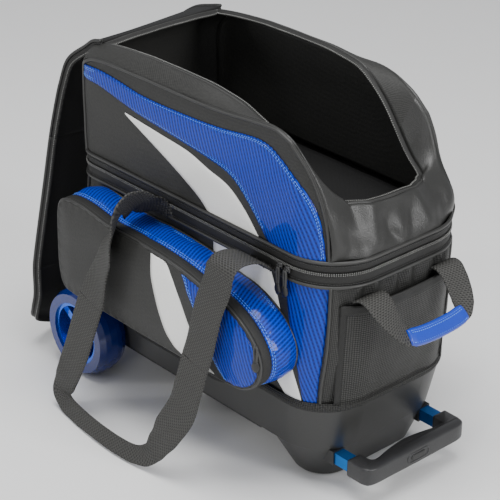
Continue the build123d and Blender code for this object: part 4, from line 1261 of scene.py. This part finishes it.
GRIP_HALF = 48.0
GRIP_STEPS, GRIP_AROUND = 61, 32
grip_path = spline([(322.5, -GRIP_HALF, 239.6), (324, -30, 237), (324.6, 0, 235.8), (324, 30, 237),
                    (322.5, GRIP_HALF, 239.6)], GRIP_STEPS)
face_dir = Vector((.75, 0, .66))


def grip_frame(i):
    """Across and outward directions of the wrapped grip at step i."""
    d = (grip_path[min(i + 1, GRIP_STEPS - 1)] - grip_path[max(i - 1, 0)]).normalized()
    wide = d.cross(face_dir).normalized()
    return wide, wide.cross(d).normalized()


verts, uvs = [], []
for i, p in enumerate(grip_path):
    wide, thick = grip_frame(i)
    plump = 0.86 + 0.14 * min(1, (30 - abs(i - 30)) / 5)
    for k in range(GRIP_AROUND):
        ca, sa = cos(2 * pi * k / GRIP_AROUND), sin(2 * pi * k / GRIP_AROUND)
        verts.append(p + wide * 11.6 * plump * abs(ca) ** 0.7 * (1 if ca > 0 else -1)
                     + thick * 5.4 * plump * abs(sa) ** 0.8 * (1 if sa > 0 else -1))
        uvs.append((k * 1.3, i * 1.6))
belongs(make("grab_grip_cover", verts, tube_faces(GRIP_STEPS, GRIP_AROUND), uvs, [plain_blue], solid=True),
        "grab_handle", "blue_vinyl", "grab_grip")
rows = []
for across, up in ((-7.5, 4.3), (-5.0, 5.3), (7.5, 4.3)):
    row, outs = [], []
    for i in range(3, 58):
        wide, thick = grip_frame(i)
        row.append(grip_path[i] + wide * across + thick * up)
        outs.append(thick)
    rows.append(stitches("grip_thread", row, outs, thread, 3.2, 1.1, 0.1))
belongs(join("grab_grip_thread", rows), "grab_handle", "blue_vinyl")

# ------------------------------------------------------------------ zip pulls
def cord_pull(name, top, drop, out):
    """Two strands of cord that end in a moulded diamond; out is the way it faces."""
    out, top = Vector(out).normalized(), Vector(top)
    side = Vector((0, 0, 1)).cross(out).normalized()
    parts = []
    for s in (-1, 1):
        strand = [top + side * s * wide + Vector((0, 0, -down))
                  for wide, down in ((0.6, 0), (1.9, 4), (1.5, drop * 0.45), (1.1, drop * 0.66))]
        parts.append(sweep("pull_cord", spline(strand, 24), ring_section(1.7), [dark_thread]))
    diamond, around = [(0, 3.4), (.18, 4.4), (.5, 6.0), (.78, 4.8), (1, 2.8)], 12
    verts = []
    for t, w in diamond:
        c = top + Vector((0, 0, -drop * (0.60 + 0.40 * t)))
        for k in range(around):
            a = 2 * pi * k / around
            verts.append(c + side * w * cos(a) + out * 2.6 * (0.7 + 0.3 * w / 6) * sin(a))
    parts.append(make("pull_tip", verts, tube_faces(len(diamond), around), None, [black_plastic], solid=True))
    return join(name, parts)


def slider(name, at, along, out):
    """Zip slider with a bridge on its face."""
    at, d, o = Vector(at), Vector(along).normalized(), Vector(out).normalized()
    s = d.cross(o).normalized()
    feet = [(at + o * 1.7 + d * 2.8 * end, d, s, (.9, 1.2, 1.6)) for end in (1, -1)]
    return blocks(name, [(at, d, s, (5.0, 4.2, 1.6)), (at + o * 2.6, d, s, (3.4, 1.2, 1.2))] + feet,
                  [slider_black])


sliders = [slider("main_slider", (x, -125.8, BAND_SPLIT - 4.5), (1, 0, 0), (0, -1, 0)) for x in (181, 194)]
belongs(join("main_zip_sliders", sliders), "bag", "slider_metal", "zip_sliders")
for name, top, drop, out, body, node in (
        ("pull_left_cord", (182, -130.4, 308.5), 35.5, (0, -1, 0), "pull_left", "main_pull_left"),
        ("pull_right_cord", (194, -130.4, 308.5), 35.5, (0, -1, 0), "pull_right", "main_pull_right"),
        ("pocket_pull_cord", (206, -187.5, 231.5), 35.0, (.3, -1, 0), "pull_pocket", "pocket_pull")):
    belongs(cord_pull(name, top, drop, out), body, "pull_plastic", node)

# ------------------------------------------------------------------ grip of the pull-out handle
grip_lo, grip_hi = Vector(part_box("grip_rear_shell")[0]) / MM, Vector(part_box("grip_front_shell")[1]) / MM
GRIP_Z0, GRIP_Z1, GRIP_X0, GRIP_X1, GRIP_Y = grip_lo.z, grip_hi.z, grip_lo.x, grip_hi.x, grip_hi.y
ARM = 24.0                          # width of the grip's end, which holds a tube


def grip_outline():
    """The grip seen from above, from the bar's inner middle round to its outer middle and back."""
    inner = [(GRIP_X0 + 11.5, 0), (GRIP_X0 + 13, 18), (GRIP_X0 + 17, 40), (GRIP_X0 + 20.5, 56),
             (GRIP_X0 + 20, 63), (GRIP_X0 + 14, GRIP_Y - ARM), (GRIP_X0 + 1.5, GRIP_Y - ARM)]
    end = [(GRIP_X0, GRIP_Y - ARM + 2), (GRIP_X0, GRIP_Y - 2), (GRIP_X0 + 1.5, GRIP_Y)]
    outer = [(GRIP_X1 - 14, GRIP_Y), (GRIP_X1 - 5, GRIP_Y - 3), (GRIP_X1 - 1.2, GRIP_Y - 12),
             (GRIP_X1 - 0.4, 45), (GRIP_X1, 0)]
    line = [Vector((x, y, 0)) for x, y in inner + end + outer]
    soft = spline(line[:6], 30) + line[6:10] + spline(line[10:], 30)
    other = [Vector((p.x, -p.y, 0)) for p in reversed(soft[1:-1])]
    return even(soft + other + soft[:1], 200, True)


def crowned_block(name, outline, z0, z1, r, crown, material):
    """Rounded block over an outline, its top and bottom faces slightly crowned."""
    n = len(outline)
    ins = []
    for k, p in enumerate(outline):
        d = (outline[(k + 1) % n] - outline[k - 1]).normalized()
        ins.append(Vector((-d.y, d.x, 0)))
    area = sum(a.x * b.y - b.x * a.y for a, b in zip(outline, outline[1:] + outline[:1]))
    if area < 0:
        ins = [-v for v in ins]
    for _ in range(6):
        ins = [(ins[k - 1] + ins[k] * 2 + ins[(k + 1) % n]) / 4 for k in range(n)]
    levels = [(r + 1.2, -crown), (r + .4, -crown * .2), (r * .45, r * .1), (r * .12, r * .42), (0, r)]
    rows = [(q, z0 + h) for q, h in levels] + [(q, z1 - h) for q, h in reversed(levels)]
    verts = [p + v * q + Vector((0, 0, z)) for q, z in rows for p, v in zip(outline, ins)]
    return make(name, verts, tube_faces(len(rows), n), None, [material], solid=True)


parts = [crowned_block("grip_body", grip_outline(), GRIP_Z0, GRIP_Z1, 3.2, .5, grip_plastic)]
seam_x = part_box("grip_front_shell")[0][0] / MM
seam_steps = [(GRIP_Y - 4) * (k / 20 - 1) for k in range(41)]
for z in (GRIP_Z0 - .35, GRIP_Z1 + .35):
    seam = [Vector((seam_x - 3 - 5 * cos(y / 60), y, z)) for y in seam_steps]
    parts.append(sweep("grip_seam", seam, [(-.45, -.3), (.45, -.3), (.45, .12), (-.45, .12)], [black_plastic],
                       up=(0, 0, 1)))
belongs(join("grip_body", parts), "handle", "grip_plastic", "grip_rear_shell", "grip_front_shell")


button_lo, button_hi = (Vector(v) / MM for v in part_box("release_button"))
button_z, button_face = (button_lo.z + button_hi.z) / 2, GRIP_X1 - .3


def button_form(name, levels, material, last):
    """Rounded slot shape of rings (half length, radius, height), facing out of the grip."""
    verts, around = [], 48
    for half, r, x in levels:
        for k in range(around):
            a = 2 * pi * k / around
            y = (half - r) * (1 if cos(a) > 0 else -1) + r * cos(a)
            verts.append(Vector((button_face + x, y, button_z + r * sin(a))))
    return make(name, verts, tube_faces(len(levels), around, False, last), None, [material])


belongs(button_form("button_surround", [(20, 7.4, -1.5), (20, 7.4, .6), (18.8, 6.3, 1.1), (17.6, 5.2, .5),
                                        (17.2, 4.8, -1.2)], grip_plastic, False), "handle", "grip_plastic")
belongs(button_form("release_button_cap", [(12.8, 3.9, -1.5), (12.8, 3.9, .5), (12.2, 3.4, 1.1),
                                           (10, 2.0, 1.3)], black_plastic, True),
        "button", "trim_plastic", "release_button")

# ------------------------------------------------------------------ inside of the shoe compartment
FLOOR_X0, FLOOR_LENGTH, FLOOR_HALF, FLOOR_Z = -216, 466, 112, 324.2


def shoe_floor_spot(i, j):
    """Point of the floor's cloth, with rounded corners."""
    x, y = FLOOR_X0 + FLOOR_LENGTH * i / 60, -FLOOR_HALF + 2 * FLOOR_HALF * j / 30
    r = 34 if x < 0 else 62
    past = FLOOR_X0 + r - x if x < 0 else x - (FLOOR_X0 + FLOOR_LENGTH - r)
    if past > 0:
        y *= 1 - (1 - sqrt(max(0, 1 - (past / r) ** 2))) * (r / FLOOR_HALF)
    return Vector((x, y, FLOOR_Z + 1.2 * noise.noise(Vector((x / 50, y / 40, 0)))))


floor_cloth = grid("shoe_floor_cloth", 61, 31, shoe_floor_spot, [lining], thick=4.5, into=-1.0,
                   uv=lambda i, j: (i * 7.7, j * 7.4))
belongs(floor_cloth, "shoe_compartment", "charcoal_fabric", "shoe_floor")

# ------------------------------------------------------------------ finishes for the hard parts
HARD = {"base_tub": tub_plastic, "foot_pad": rubber, "ball_cups": foam, "wheel_guard": clear_plastic,
        "handle_tubes": tube_blue, "grip_screws": chrome, "axle": steel, "axle_nuts": steel}
HARD |= dict.fromkeys(["handle_housing", "tube_sleeves", "tube_collars", "axle_spacers", "floor_board",
                       "tube_wear_plugs"], black_plastic)
for end in ("front", "back"):
    HARD |= {f"wheel_tyre_{end}": tyre_blue, f"wheel_hub_{end}": hub_blue, f"wheel_bearings_{end}": steel,
             f"wheel_cap_{end}": hub_blue}
for node, material in HARD.items():
    slots = frame["nodes"][node].data.materials
    slots.clear()
    slots.append(material)

# ------------------------------------------------------------------ room, lights and camera
FLOOR_REACH = 6000
floor_finish = finish("studio_floor", rgb(.80, .80, .79), rgb(.84, .84, .83), .6, .1, relief_strength=.02,
                      wear=.05)
floor_corners = [(x * FLOOR_REACH, y * FLOOR_REACH, 0) for x, y in ((-1, -1), (1, -1), (1, 1), (-1, 1))]
make("studio_floor", floor_corners, [(0, 1, 2, 3)], None, [floor_finish])
world = bpy.data.worlds.new("studio")
bpy.context.scene.world = world
world.use_nodes = True
backdrop = world.node_tree.nodes["Background"].inputs
backdrop["Color"].default_value, backdrop["Strength"].default_value = rgb(.95, .96, 1), .55


def aimed(name, data, at, aim):
    """Lamp or camera at a point, looking at another, in metres."""
    obj = bpy.data.objects.new(name, data)
    obj.location = at
    obj.rotation_euler = (Vector(aim) - Vector(at)).to_track_quat("-Z", "Y").to_euler()
    bpy.context.scene.collection.objects.link(obj)
    return obj


def soft_light(name, at, aim, size, power):
    """Rectangular lamp; size in metres, power in watts."""
    data = bpy.data.lights.new(name, "AREA")
    data.shape, data.size, data.size_y, data.energy = "RECTANGLE", size[0], size[1], power
    aimed(name, data, at, aim)


soft_light("overhead", (.2, -.3, 2.6), (0, 0, .2), (1.5, 1.1), 60)
soft_light("right_window", (2.2, .3, 1.3), (0, 0, .25), (.5, 1.4), 34)
soft_light("front_strip", (1.0, -2.3, 1.0), (.1, 0, .25), (.14, 1.3), 13)
soft_light("left_strip", (-1.4, -2.2, 1.2), (-.1, 0, .25), (.2, 1.2), 12)

camera_data = bpy.data.cameras.new("three_quarter")
camera_data.lens, camera_data.sensor_width, camera_data.clip_end = 132.2, 36, 50
bpy.context.scene.camera = aimed("three_quarter", camera_data, (1.6104, -1.4446, 1.3285), (-.015, 0, .2115))
